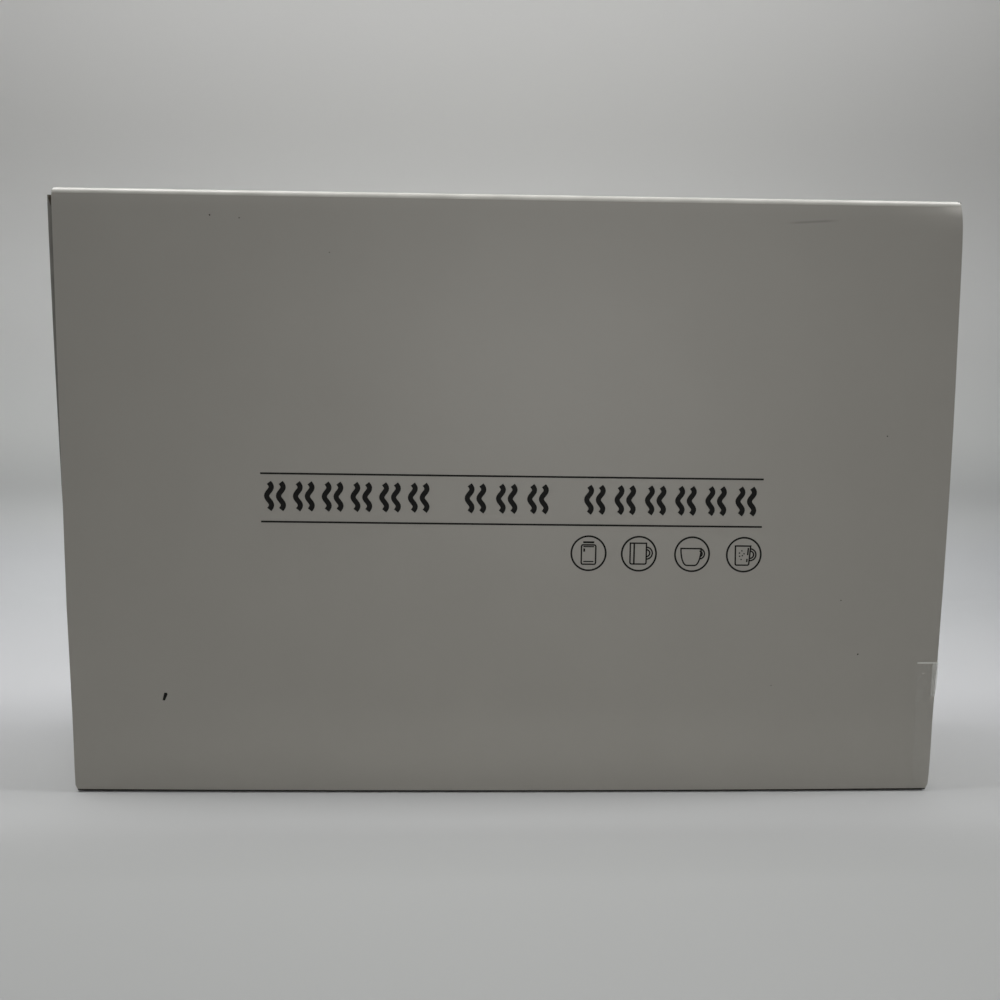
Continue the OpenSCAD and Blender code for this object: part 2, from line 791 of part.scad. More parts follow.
// Body of a push switch at position x in the row, with a well for its plunger
module push_switch(x) {
    color("#232427") in_pocket() translate([x, -control_y, 0]) difference() {
        translate([0, 0, pcb_top + touch]) linear_extrude(switch_h - touch) square(switch_s, center = true);
        rod(plunger_r + plunger_gap, pcb_top + switch_h - switch_well, pcb_top + switch_h + 1);
    }
}

// Plunger of a push switch, which travels with the button above it
module plunger(x) {
    color("#d9d4c5") in_pocket() translate([x, -control_y, 0])
        rod(plunger_r, plunger_top - plunger_h, plunger_top);
}

// Cap, flange and stem of a button
module button(x) {
    dome = 0.5;
    color("#d8dadc") in_pocket() translate([x, -control_y, 0]) {
        rod(plunger_r, plunger_top, flange_top);
        rod(flange_r, flange_top - flange_h, flange_top);
        rod(button_r, flange_top - 0.5, cover_z + button_proud - dome);
        translate([0, 0, cover_z + button_proud - dome])
            cylinder(r1 = button_r, r2 = button_r - dome, h = dome);
    }
}

module power_switch() {
    push_switch(button_xs[0]);
}

module level_switch() {
    push_switch(button_xs[1]);
}

module power_plunger() {
    plunger(button_xs[0]);
}

module level_plunger() {
    plunger(button_xs[1]);
}

module power_button() {
    button(button_xs[0]);
}

module level_button() {
    button(button_xs[1]);
}

// Three light guides between the board and the cover
module indicator_lenses() {
    color([0.95, 0.95, 0.9, 0.6]) in_pocket() for (x = lens_xs) translate([x, -control_y, 0]) {
        rod(lens_r, pcb_top + led_h + 0.4, cover_z);
        rod(lens_r + 0.7, flange_top - 1, flange_top);
    }
}

// Three small lamps on the board, one under each light guide
module indicator_leds() {
    color("#f3efb8") in_pocket() for (x = lens_xs) translate([x, -control_y, pcb_top + touch])
        linear_extrude(led_h) square([led_w, led_l], center = true);
}

carton_body();
glue_tabs();
lid_panel();
tuck_flap();
dust_flap_left();
dust_flap_right();
seal_tape();
foam_base();
foam_cradle();
leaflet();
base_housing();
top_cover();
heating_plate();
plate_gasket();
heater_disc();
insulation_felt();
heat_shield();
shield_screws();
temperature_sensor();
thermal_fuse();
control_board();
board_screws();
controller_chip();
power_transistors();
filter_capacitor();
lead_terminal();
heater_leads();
supply_leads();
inlet_board();
inlet_socket();
power_switch();
level_switch();
power_plunger();
level_plunger();
power_button();
level_button();
indicator_lenses();
indicator_leds();
housing_screws();
rubber_feet();
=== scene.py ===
"""Looks of a boxed electric mug warmer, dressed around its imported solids.

The carton stands closed on a pale floor. Its printed lid, its flaps and their creases, the clear
seal, the foam insert and the leaflet are meshes made here. The warmer's own solids keep their shape
and get their finishes here. Lengths in the classes are millimetres, and meshes are made in metres.
"""
from __future__ import annotations

import logging
import math
from dataclasses import dataclass, field
from enum import Enum, IntEnum
from typing import Callable, Sequence

import bmesh
import bpy
from mathutils import Matrix, Vector, noise


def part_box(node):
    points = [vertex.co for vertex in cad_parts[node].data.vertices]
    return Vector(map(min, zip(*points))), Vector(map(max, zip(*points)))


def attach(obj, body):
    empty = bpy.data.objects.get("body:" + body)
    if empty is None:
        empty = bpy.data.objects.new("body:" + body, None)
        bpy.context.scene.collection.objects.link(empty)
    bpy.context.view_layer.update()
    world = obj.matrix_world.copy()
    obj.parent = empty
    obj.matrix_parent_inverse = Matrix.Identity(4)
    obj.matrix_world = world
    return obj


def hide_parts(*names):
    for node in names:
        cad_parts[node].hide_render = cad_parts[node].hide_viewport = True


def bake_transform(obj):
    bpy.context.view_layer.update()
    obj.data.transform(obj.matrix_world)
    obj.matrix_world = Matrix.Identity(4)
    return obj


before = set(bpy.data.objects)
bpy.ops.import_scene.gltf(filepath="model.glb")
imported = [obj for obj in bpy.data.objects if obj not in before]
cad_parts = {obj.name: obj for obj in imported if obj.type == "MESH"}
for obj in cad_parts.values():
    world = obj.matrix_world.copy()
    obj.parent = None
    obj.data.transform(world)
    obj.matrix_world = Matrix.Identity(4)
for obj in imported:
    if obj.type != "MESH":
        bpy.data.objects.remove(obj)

log = logging.getLogger("boxed_mug_warmer")

MM = 0.001
RIM = 0.1  # Width and depth of a sheet's softened edge, in millimetres
INKED = 0.03  # How far ink stands proud of its surface and reaches under it, in millimetres
SHARPEST = 0.4  # Least cosine of half the turn at a stroke's corner, which keeps its mitre short
WELD = 0.001  # Distance in millimetres below which two points become one
Point2 = tuple[float, float]
Point3 = tuple[float, float, float]
Place = Callable[[float, float, float], Vector]
Stroke = tuple[Sequence[Point2], float, bool]
Rows = Sequence[Sequence[Point2]]
Colour = tuple[float, float, float, float]
Piece = bpy.types.Object
Socket = bpy.types.NodeSocket
Tree = bpy.types.NodeTree
Node = bpy.types.Node


# ---- small tools ----

def box_mm(node: str) -> tuple[Vector, Vector]:
    """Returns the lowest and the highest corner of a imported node, in millimetres."""
    low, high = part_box(node)
    return low / MM, high / MM


def blend(a: float, b: float, t: float) -> float:
    """Returns the value that lies the share t of the way from a to b."""
    return a + (b - a) * t


def held(t: float) -> float:
    """Returns t held between 0 and 1."""
    return min(max(t, 0.0), 1.0)


def eased(t: float) -> float:
    """Returns t held between 0 and 1 and eased at both ends."""
    t = held(t)
    return t * t * (3 - 2 * t)


def linear(colour: str) -> Colour:
    """Turns an sRGB hex colour into the linear colour that a shader takes.

    Args:
        colour: Colour such as "#9c9993".

    Returns:
        Red, green, blue and an alpha of 1.
    """
    parts = [int(colour[i:i + 2], 16) / 255 for i in (1, 3, 5)]
    lit = [c / 12.92 if c <= 0.04045 else ((c + 0.055) / 1.055) ** 2.4 for c in parts]
    return lit[0], lit[1], lit[2], 1.0


def per_mm(size: float) -> float:
    """Returns the texture scale at which a pattern's features measure size millimetres."""
    return 1 / (size * MM)


def add_node(tree: Tree, kind: str, inputs: dict | None = None, **settings: object) -> Node:
    """Adds a node with its settings, its values and its links.

    Args:
        tree: The node tree.
        kind: The node type's identifier, without the prefix that all of them share.
        inputs: A value or another node's output socket for each input, by name or number.
        settings: The node's own properties.

    Returns:
        The new node.
    """
    node = tree.nodes.new(f"ShaderNode{kind}")
    for name, value in settings.items():
        setattr(node, name, value)
    for name, value in (inputs or {}).items():
        if isinstance(value, Socket):
            tree.links.new(value, node.inputs[name])
        else:
            node.inputs[name].default_value = value
    return node


def apart(tree: Tree, along: Socket, middle: Socket | float) -> Socket:
    """Returns how far a coordinate is from a middle, both in metres."""
    offset = add_node(tree, "Math", {0: along, 1: middle}, operation="SUBTRACT")
    return add_node(tree, "Math", {0: offset.outputs[0]}, operation="ABSOLUTE").outputs[0]


# ---- finishes ----

@dataclass(frozen=True)
class Finish:
    """A surface made of one real material.

    Attributes:
        name: The material's common name and how its surface was made.
        colour: Its own colour, in sRGB.
        roughness: Its roughness.
        metallic: 1 for a bare metal.
        ior: Its refractive index. A metal keeps the default.
        tone: Second colour, in sRGB, of its drift or pattern. Where it is empty there is none.
    """

    name: str
    colour: str
    roughness: float
    metallic: float = 0.0
    ior: float = 1.5
    tone: str = ""

    def material(self) -> bpy.types.Material:
        """Returns the material, which is made the first time that it is asked for."""
        known = bpy.data.materials.get(self.name)
        if known:
            return known
        made = bpy.data.materials.new(self.name)
        made.use_nodes = True
        tree = made.node_tree
        tree.nodes.clear()
        shader = add_node(tree, "BsdfPrincipled", {
            "Base Color": linear(self.colour), "Roughness": self.roughness, "Metallic": self.metallic,
            "IOR": self.ior})
        add_node(tree, "OutputMaterial", {"Surface": shader.outputs[0]})
        here = add_node(tree, "TexCoord").outputs["Object"]
        self.dress(tree, shader, here)
        return made

    def dress(self, tree: Tree, shader: Node, here: Socket) -> None:
        """Adds what makes the surface look like its material.

        Args:
            tree: The material's node tree.
            shader: Its shader.
            here: The place on the piece, in metres.
        """
        raise NotImplementedError

    def toned(self, tree: Tree, share: Socket) -> Socket:
        """Returns the finish's colour where a pattern is 0, and its tone where the pattern is 1."""
        return add_node(tree, "Mix", {
            0: share, 6: linear(self.colour), 7: linear(self.tone or self.colour)},
            data_type="RGBA").outputs[2]

    def clouds(self, tree: Tree, here: Socket, size: float, detail: float = 2.0) -> Socket:
        """Returns the finish's colour, drifting softly towards its tone.

        Args:
            tree: The material's node tree.
            here: The place on the piece.
            size: Size of one cloud in millimetres.
            detail: How finely the clouds break up.

        Returns:
            The colour's socket.
        """
        drift = add_node(tree, "TexNoise", {0: here, "Scale": per_mm(size), "Detail": detail})
        share = add_node(tree, "MapRange", {0: drift.outputs[0], 1: 0.3, 2: 0.7})
        return self.toned(tree, share.outputs[0])

    def emboss(self, tree: Tree, shader: Node, height: Socket, depth: float) -> None:
        """Raises the surface by a pattern from 0 to 1, which is depth millimetres high."""
        raised = add_node(tree, "Bump", {"Height": height, "Distance": depth * MM})
        tree.links.new(raised.outputs[0], shader.inputs["Normal"])


@dataclass(frozen=True)
class Fibrous(Finish):
    """A dull surface of fibres, or one that holds them: soft clouds of colour over a fine tooth.

    Attributes:
        cloud: Size of a cloud in millimetres.
        mist: How finely the clouds break up.
        fibre: Size of the tooth in millimetres.
        tangle: How finely the tooth breaks up.
        tooth: Depth of the tooth in millimetres.
    """

    cloud: float = 22.0
    mist: float = 2.0
    fibre: float = 0.6
    tangle: float = 3.0
    tooth: float = 0.006

    def dress(self, tree: Tree, shader: Node, here: Socket) -> None:
        """Adds the clouds and the tooth."""
        tree.links.new(self.clouds(tree, here, self.cloud, self.mist), shader.inputs["Base Color"])
        self.roughen(tree, shader, here)

    def roughen(self, tree: Tree, shader: Node, here: Socket) -> None:
        """Adds the tooth alone."""
        fibres = add_node(tree, "TexNoise", {0: here, "Scale": per_mm(self.fibre), "Detail": self.tangle})
        self.emboss(tree, shader, fibres.outputs[0], self.tooth)


@dataclass(frozen=True)
class CoatedBoard(Fibrous):
    """White-lined board, clay-coated and varnished matt.

    The coat gives a dull even sheen. The liner's fibres take it up a little unevenly, which the eye
    sees as faint clouds and a very fine tooth.
    """

    tone: str = "#9d9a93"


@dataclass(frozen=True)
class PaintedLightBoard(CoatedBoard):
    """The same board on a panel that has been handled.

    A spot at the upper right corner is painted paler, in fine patches: a painted highlight where light
    catches the rounded corner. A fingernail or a box edge leaves a faint crease, whose shade is painted
    as a thin dark line that fades out at both ends.

    Attributes:
        painted_highlight: Colour of the painted highlight at the corner.
        corner: Place of the brightest spot of that highlight.
        reach: How far the painted highlight reaches along X and Z.
        patch: Size of one of its patches.
        patchy: Weakest and strongest painted highlight in the patches.
        crease_shade: Colour of the painted shade at the crease's bottom.
        crease: The crease's left and right end, in X and Z.
        thin: Half the crease's width.
    """

    painted_highlight: str = "#cecbc4"
    corner: Point3 = (95.0, 0.0, 127.8)
    reach: Point2 = (7.2, 3.3)
    patch: float = 2.5
    patchy: Point2 = (0.7, 1.3)
    crease_shade: str = "#8a8882"
    crease: tuple[Point2, Point2] = ((56.5, 123.3), (69.0, 124.1))
    thin: float = 0.4

    def dress(self, tree: Tree, shader: Node, here: Socket) -> None:
        """Adds the coat, and over it the corner's painted highlight and the crease's painted shade."""
        super().dress(tree, shader, here)
        coat = shader.inputs["Base Color"].links[0].from_socket
        away = add_node(tree, "VectorMath", {
            0: here, 1: tuple(c * MM for c in self.corner)}, operation="SUBTRACT")
        scale = (per_mm(self.reach[0]), 0.0, per_mm(self.reach[1]))
        scaled = add_node(tree, "VectorMath", {0: away.outputs[0], 1: scale}, operation="MULTIPLY")
        distance = add_node(tree, "VectorMath", {0: scaled.outputs[0]}, operation="LENGTH")
        highlight_fade = add_node(tree, "MapRange", {
            0: distance.outputs["Value"], 3: 1.0, 4: 0.0}, interpolation_type="SMOOTHSTEP")
        patches = add_node(tree, "TexNoise", {0: here, "Scale": per_mm(self.patch), "Detail": 4.0})
        uneven = add_node(tree, "MapRange", {0: patches.outputs[0], 3: self.patchy[0], 4: self.patchy[1]})
        share = add_node(tree, "Math", {
            0: highlight_fade.outputs[0], 1: uneven.outputs[0]}, operation="MULTIPLY", use_clamp=True)
        # worn is the coat with the corner's painted highlight mixed in
        worn = add_node(tree, "Mix", {0: share.outputs[0], 6: coat, 7: linear(self.painted_highlight)}, data_type="RGBA")
        # Over that, the crease's painted shade: a thin darker line
        mixed = add_node(tree, "Mix", {
            0: self.painted_crease_line(tree, here), 6: worn.outputs[2], 7: linear(self.crease_shade)}, data_type="RGBA")
        tree.links.new(mixed.outputs[2], shader.inputs["Base Color"])

    def painted_crease_line(self, tree: Tree, here: Socket) -> Socket:
        """Returns 1 in the middle of the crease's painted shade and 0 beside it.

        Args:
            tree: The material's node tree.
            here: The place on the piece.

        Returns:
            The share's socket.
        """
        (left, low), (right, high) = self.crease
        middle, half = (left + right) / 2, (right - left) / 2
        place = add_node(tree, "SeparateXYZ", {0: here})
        line = add_node(tree, "MapRange", {
            0: place.outputs[0], 1: left * MM, 2: right * MM, 3: low * MM, 4: high * MM})
        off = apart(tree, place.outputs[2], line.outputs[0])
        deep = add_node(tree, "MapRange", {
            0: off, 1: 0.0, 2: self.thin * MM, 3: 1.0, 4: 0.0}, interpolation_type="SMOOTHSTEP")
        along = apart(tree, place.outputs[0], middle * MM)
        fading = add_node(tree, "MapRange", {
            0: along, 1: half * MM / 3, 2: half * MM, 3: 1.0, 4: 0.0}, interpolation_type="SMOOTHSTEP")
        return add_node(tree, "Math", {
            0: deep.outputs[0], 1: fading.outputs[0]}, operation="MULTIPLY").outputs[0]


@dataclass(frozen=True)
class KraftLiner(Fibrous):
    """Uncoated recycled liner on the inside of the board.

    It is dull and warm, and flecked with darker and lighter fibres.
    """

    tone: str = "#7d7364"
    cloud: float = 0.9
    mist: float = 5.0
    fibre: float = 0.4
    tangle: float = 4.0
    tooth: float = 0.02


@dataclass(frozen=True)
class CutBoard(Finish):
    """Raw edge of fine corrugated board, die-cut.

    The cut shows the flutes between the liners as a row of small arches.

    Attributes:
        flute: Distance from one flute to the next.
        ragged: How unevenly the cut runs.
        relief: Depth of the flutes.
    """

    tone: str = "#453f34"
    flute: float = 1.25
    ragged: float = 1.2
    relief: float = 0.1

    def dress(self, tree: Tree, shader: Node, here: Socket) -> None:
        """Adds the flutes, which run upwards and from front to back."""
        # A band texture repeats 20 / (2 pi) times in a length of 1 at a scale of 1
        bands = per_mm(self.flute) * math.tau / 20
        flutes = add_node(tree, "TexWave", {
            0: here, "Scale": bands, "Distortion": self.ragged, "Detail Scale": 3.0}, bands_direction="X")
        tree.links.new(self.toned(tree, flutes.outputs[1]), shader.inputs["Base Color"])
        self.emboss(tree, shader, flutes.outputs[1], self.relief)


@dataclass(frozen=True)
class FoldedBoard(CoatedBoard):
    """The carton's body, coated white on the outside and bare liner on the inside.

    Attributes:
        inside: Colour of the liner.
        flecks: Colour of its flecks.
        fleck: Size of a fleck.
        dull: Roughness of the liner.
        front_ends_in_shade: Colour of the board's bare middle layer at the walls' raw front ends, painted
            darker as the shade behind the lid and its folds.
        reach: Distance of the board's middle layer from the middle of the carton, along X, Y and Z.
        middle: Middle of the carton.
    """

    inside: str = "#8f8474"
    flecks: str = "#7d7364"
    fleck: float = 0.9
    dull: float = 0.85
    front_ends_in_shade: str = "#4a4339"
    reach: Point3 = (0.0, 0.0, 0.0)
    middle: Point3 = (0.0, 0.0, 0.0)

    def dress(self, tree: Tree, shader: Node, here: Socket) -> None:
        """Adds the coat outside, the liner inside, and the bare middle layer at the raw front ends, painted
        darker as shade.
        """
        place = add_node(tree, "SeparateXYZ", {0: here})
        outer: Socket | float = 0.0
        for axis, (reach, middle) in enumerate(zip(self.reach, self.middle)):
            beyond = add_node(tree, "Math", {
                0: apart(tree, place.outputs[axis], middle * MM), 1: reach * MM}, operation="GREATER_THAN")
            outer = add_node(tree, "Math", {0: outer, 1: beyond.outputs[0]}, operation="MAXIMUM").outputs[0]
        flecks = add_node(tree, "TexNoise", {0: here, "Scale": per_mm(self.fleck), "Detail": 5.0})
        liner = add_node(tree, "Mix", {
            0: flecks.outputs[0], 6: linear(self.inside), 7: linear(self.flecks)}, data_type="RGBA")
        coat = self.clouds(tree, here, self.cloud)
        sides = add_node(tree, "Mix", {0: outer, 6: liner.outputs[2], 7: coat}, data_type="RGBA")
        # The walls' raw front ends face forwards and lie in the front half, behind the lid; they take a
        # darker colour as painted shade
        upright = add_node(tree, "TexCoord").outputs["Normal"]
        facing = add_node(tree, "SeparateXYZ", {0: upright})
        ahead = add_node(tree, "Math", {0: facing.outputs[1], 1: -0.5}, operation="LESS_THAN")
        near = add_node(tree, "Math", {0: place.outputs[1], 1: 0.0}, operation="LESS_THAN")
        raw = add_node(tree, "Math", {0: ahead.outputs[0], 1: near.outputs[0]}, operation="MULTIPLY")
        ends = add_node(tree, "Mix", {
            0: raw.outputs[0], 6: sides.outputs[2], 7: linear(self.front_ends_in_shade)}, data_type="RGBA")
        tree.links.new(ends.outputs[2], shader.inputs["Base Color"])
        gloss = add_node(tree, "MapRange", {0: outer, 3: self.dull, 4: self.roughness})
        tree.links.new(gloss.outputs[0], shader.inputs["Roughness"])
        self.roughen(tree, shader, here)


@dataclass(frozen=True)
class PrintedInk(Finish):
    """Black offset ink on the coat.

    It lies dead flat and dull, and the paper's tone shows through a little in patches.

    Attributes:
        patch: Size of a patch.
        shine: How much of a varnished surface's gloss is left.
    """

    patch: float = 1.5
    shine: float = 0.14

    def dress(self, tree: Tree, shader: Node, here: Socket) -> None:
        """Takes the gloss away and adds the patches."""
        shader.inputs["Specular IOR Level"].default_value = self.shine
        tree.links.new(self.clouds(tree, here, self.patch, 3.0), shader.inputs["Base Color"])


@dataclass(frozen=True)
class ClearFilm(Finish):
    """Clear polypropylene tape, stretched film with a glossy face.

    The eye sees hardly more than its reflections, and a slight milky tone.

    Attributes:
        alpha: How much of it is seen at all.
        streak: Width and length of the stretched film's faint lines.
        relief: Height of those lines.
    """

    alpha: float = 0.02
    streak: Point2 = (0.8, 60.0)
    relief: float = 0.01

    def dress(self, tree: Tree, shader: Node, here: Socket) -> None:
        """Makes it see-through and adds the faint lines of the stretched film."""
        shader.inputs["Alpha"].default_value = self.alpha
        thin, long = (per_mm(size) for size in self.streak)
        lines = add_node(tree, "Mapping", {0: here, 3: (long, long, thin)})
        film = add_node(tree, "TexNoise", {0: lines.outputs[0], "Scale": 1.0, "Detail": 2.0})
        self.emboss(tree, shader, film.outputs[0], self.relief)


@dataclass(frozen=True)
class CellFoam(Finish):
    """Expanded polyethylene foam, sawn and die-cut.

    The cut opens its cells: a fine net of thin bright walls around shallow pits, painted darker as shade.

    Attributes:
        cell: Size of a cell.
        warp: How far the net is pulled out of shape.
        wall: Where a wall begins to fall and where the pit's floor begins, as shares of a cell.
        pit: Depth of a pit.
    """

    tone: str = "#d9dad6"
    cell: float = 1.9
    warp: float = 1.2
    wall: Point2 = (0.02, 0.16)
    pit: float = 0.12

    def dress(self, tree: Tree, shader: Node, here: Socket) -> None:
        """Adds the cells, with their size and depth varying."""
        pull = add_node(tree, "TexNoise", {0: here, "Scale": per_mm(self.cell * 4), "Detail": 1.0})
        bent = add_node(tree, "Mix", {
            0: self.warp * MM, 6: (0.0, 0.0, 0.0, 1.0), 7: pull.outputs[1]}, data_type="RGBA")
        moved = add_node(tree, "VectorMath", {0: here, 1: bent.outputs[2]}, operation="ADD")
        cells = add_node(tree, "TexVoronoi", {
            0: moved.outputs[0], "Scale": per_mm(self.cell)}, feature="DISTANCE_TO_EDGE")
        walls = add_node(tree, "MapRange", {0: cells.outputs[0], 1: self.wall[0], 2: self.wall[1]})
        # The pits take the darker tone, painted shade in the cells' hollows
        tree.links.new(self.toned(tree, walls.outputs[0]), shader.inputs["Base Color"])
        raised = add_node(tree, "Math", {0: 1.0, 1: walls.outputs[0]}, operation="SUBTRACT")
        self.emboss(tree, shader, raised.outputs[0], self.pit)


@dataclass(frozen=True)
class WovePaper(Fibrous):
    """Uncoated white paper, machine-finished.

    It is dull and even, with a slight cloudiness of the pulp.
    """

    tone: str = "#ebeae4"
    cloud: float = 3.0
    mist: float = 4.0
    fibre: float = 0.5
    tangle: float = 2.0
    tooth: float = 0.015


@dataclass(frozen=True)
class MouldedPlastic(Finish):
    """Injection-moulded plastic from a textured tool.

    The tool's eroded grain scatters the light, so the eye sees a soft even sheen with a fine sparkle.
    Real grain measures about 0.1 mm and would not show, so it is drawn coarser here.

    Attributes:
        drift: Size of a cloud of the slight colour drift.
        grain: Size of the grain in millimetres.
        depth: Depth of the grain in millimetres.
        worn: Size of a stretch of even gloss.
        swing: How much rougher or smoother such stretches are.
    """

    drift: float = 18.0
    grain: float = 0.35
    depth: float = 0.02
    worn: float = 12.0
    swing: float = 0.06

    def dress(self, tree: Tree, shader: Node, here: Socket) -> None:
        """Adds the drift of the colour, the grain and its slightly uneven gloss."""
        tree.links.new(self.clouds(tree, here, self.drift), shader.inputs["Base Color"])
        grain = add_node(tree, "TexVoronoi", {
            0: here, "Scale": per_mm(self.grain), "Randomness": 1.0}, feature="SMOOTH_F1")
        self.emboss(tree, shader, grain.outputs[0], self.depth)
        worn = add_node(tree, "TexNoise", {0: here, "Scale": per_mm(self.worn), "Detail": 3.0})
        gloss = add_node(tree, "MapRange", {
            0: worn.outputs[0], 3: self.roughness - self.swing, 4: self.roughness + self.swing})
        tree.links.new(gloss.outputs[0], shader.inputs["Roughness"])


@dataclass(frozen=True)
class PolishedGlass(Finish):
    """Toughened glass, polished, with a black enamel fired on its back.

    The eye sees a deep black under a mirror-like face, with the faintest haze of handling on it.

    Attributes:
        drift: Size of a cloud of the enamel's drift.
        smear: Size of a smear of the haze.
        haze: How much rougher the haziest place is.
    """

    tone: str = "#101215"
    drift: float = 30.0
    smear: float = 16.0
    haze: float = 0.12

    def dress(self, tree: Tree, shader: Node, here: Socket) -> None:
        """Adds the enamel's drift and the haze."""
        tree.links.new(self.clouds(tree, here, self.drift), shader.inputs["Base Color"])
        smears = add_node(tree, "TexNoise", {0: here, "Scale": per_mm(self.smear), "Detail": 5.0})
        gloss = add_node(tree, "MapRange", {
            0: smears.outputs[0], 1: 0.35, 2: 0.75, 3: self.roughness, 4: self.roughness + self.haze})
        tree.links.new(gloss.outputs[0], shader.inputs["Roughness"])


@dataclass(frozen=True)
class SheetMetal(Finish):
    """Rolled or turned metal.

    The rolls leave fine parallel lines, which draw every reflection out across them. A thin film of
    oxide lies on it in patches.

    Attributes:
        line: Spacing of the lines in millimetres, coarser than the real ones so that they show.
        oxide: Size of a patch of oxide.
        relief: Height of the lines.
    """

    tone: str = "#8c8e90"
    line: float = 0.3
    oxide: float = 6.0
    relief: float = 0.01

    def dress(self, tree: Tree, shader: Node, here: Socket) -> None:
        """Adds the lines, and the patches of oxide."""
        tree.links.new(self.clouds(tree, here, self.oxide, 4.0), shader.inputs["Base Color"])
        across, along = per_mm(self.line), per_mm(self.line * 40)
        drawn = add_node(tree, "Mapping", {0: here, 3: (across, across, along)})
        lines = add_node(tree, "TexNoise", {0: drawn.outputs[0], "Scale": 1.0, "Detail": 2.0})
        self.emboss(tree, shader, lines.outputs[0], self.relief)


@dataclass(frozen=True)
class MicaSheet(Finish):
    """Pressed mica paper with the heater's track behind it.

    It is brown-gold and flaky, and each flake glints at its own angle.

    Attributes:
        flake: Size of a flake.
        relief: Height of the flakes.
    """

    tone: str = "#8a6f45"
    flake: float = 1.6
    relief: float = 0.05

    def dress(self, tree: Tree, shader: Node, here: Socket) -> None:
        """Adds the flakes."""
        flakes = add_node(tree, "TexVoronoi", {0: here, "Scale": per_mm(self.flake)})
        tree.links.new(self.toned(tree, flakes.outputs[0]), shader.inputs["Base Color"])
        self.emboss(tree, shader, flakes.outputs[0], self.relief)


@dataclass(frozen=True)
class NeedledFelt(Finish):
    """Needle-punched ceramic-fibre felt.

    It is off-white and matted, with tangled fibres and small pits where the needles went through.

    Attributes:
        tangle: Size of a tangle of fibres.
        needle: Distance between the needles' pits.
        pit: Depth of a pit.
    """

    tone: str = "#c3bba8"
    tangle: float = 1.2
    needle: float = 1.4
    pit: float = 0.2

    def dress(self, tree: Tree, shader: Node, here: Socket) -> None:
        """Adds the fibres and the pits."""
        tree.links.new(self.clouds(tree, here, self.tangle, 6.0), shader.inputs["Base Color"])
        pits = add_node(tree, "TexVoronoi", {0: here, "Scale": per_mm(self.needle)})
        self.emboss(tree, shader, pits.outputs[0], self.pit)


@dataclass(frozen=True)
class SolderMask(Finish):
    """Glass-fibre laminate with copper tracks under a green solder mask.

    The tracks show as slightly raised, lighter lines under the glossy lacquer.

    Attributes:
        track: Distance between tracks.
        border: Where a track begins and is full, as shares of that distance.
        copper: Thickness of a track.
    """

    tone: str = "#2f7d55"
    track: float = 2.4
    border: Point2 = (0.42, 0.46)
    copper: float = 0.035

    def dress(self, tree: Tree, shader: Node, here: Socket) -> None:
        """Adds the tracks as the borders of square cells."""
        cells = add_node(tree, "TexVoronoi", {
            0: here, "Scale": per_mm(self.track), "Randomness": 0.8}, distance="CHEBYCHEV", feature="F1")
        tracks = add_node(tree, "MapRange", {0: cells.outputs[0], 1: self.border[0], 2: self.border[1]})
        tree.links.new(self.toned(tree, tracks.outputs[0]), shader.inputs["Base Color"])
        self.emboss(tree, shader, tracks.outputs[0], self.copper)


@dataclass(frozen=True)
class ClearResin(Finish):
    """Clear acrylic, moulded and polished.

    Light passes through it, and its rounded end glints.

    Attributes:
        clear: How much of the light passes through.
        flow: Size of the moulding's unevenness.
        relief: Its height.
    """

    clear: float = 0.85
    flow: float = 1.5
    relief: float = 0.01

    def dress(self, tree: Tree, shader: Node, here: Socket) -> None:
        """Makes it see-through, with the slight unevenness of the moulding."""
        shader.inputs["Transmission Weight"].default_value = self.clear
        flow = add_node(tree, "TexNoise", {0: here, "Scale": per_mm(self.flow), "Detail": 1.0})
        self.emboss(tree, shader, flow.outputs[0], self.relief)


@dataclass(frozen=True)
class Rubber(Fibrous):
    """Moulded rubber or silicone.

    It is dull and slightly dusty, because it holds fine lint, over a fine moulded tooth.
    """

    tone: str = "#3a3c3f"
    cloud: float = 2.5
    mist: float = 5.0
    fibre: float = 0.5
    tooth: float = 0.02


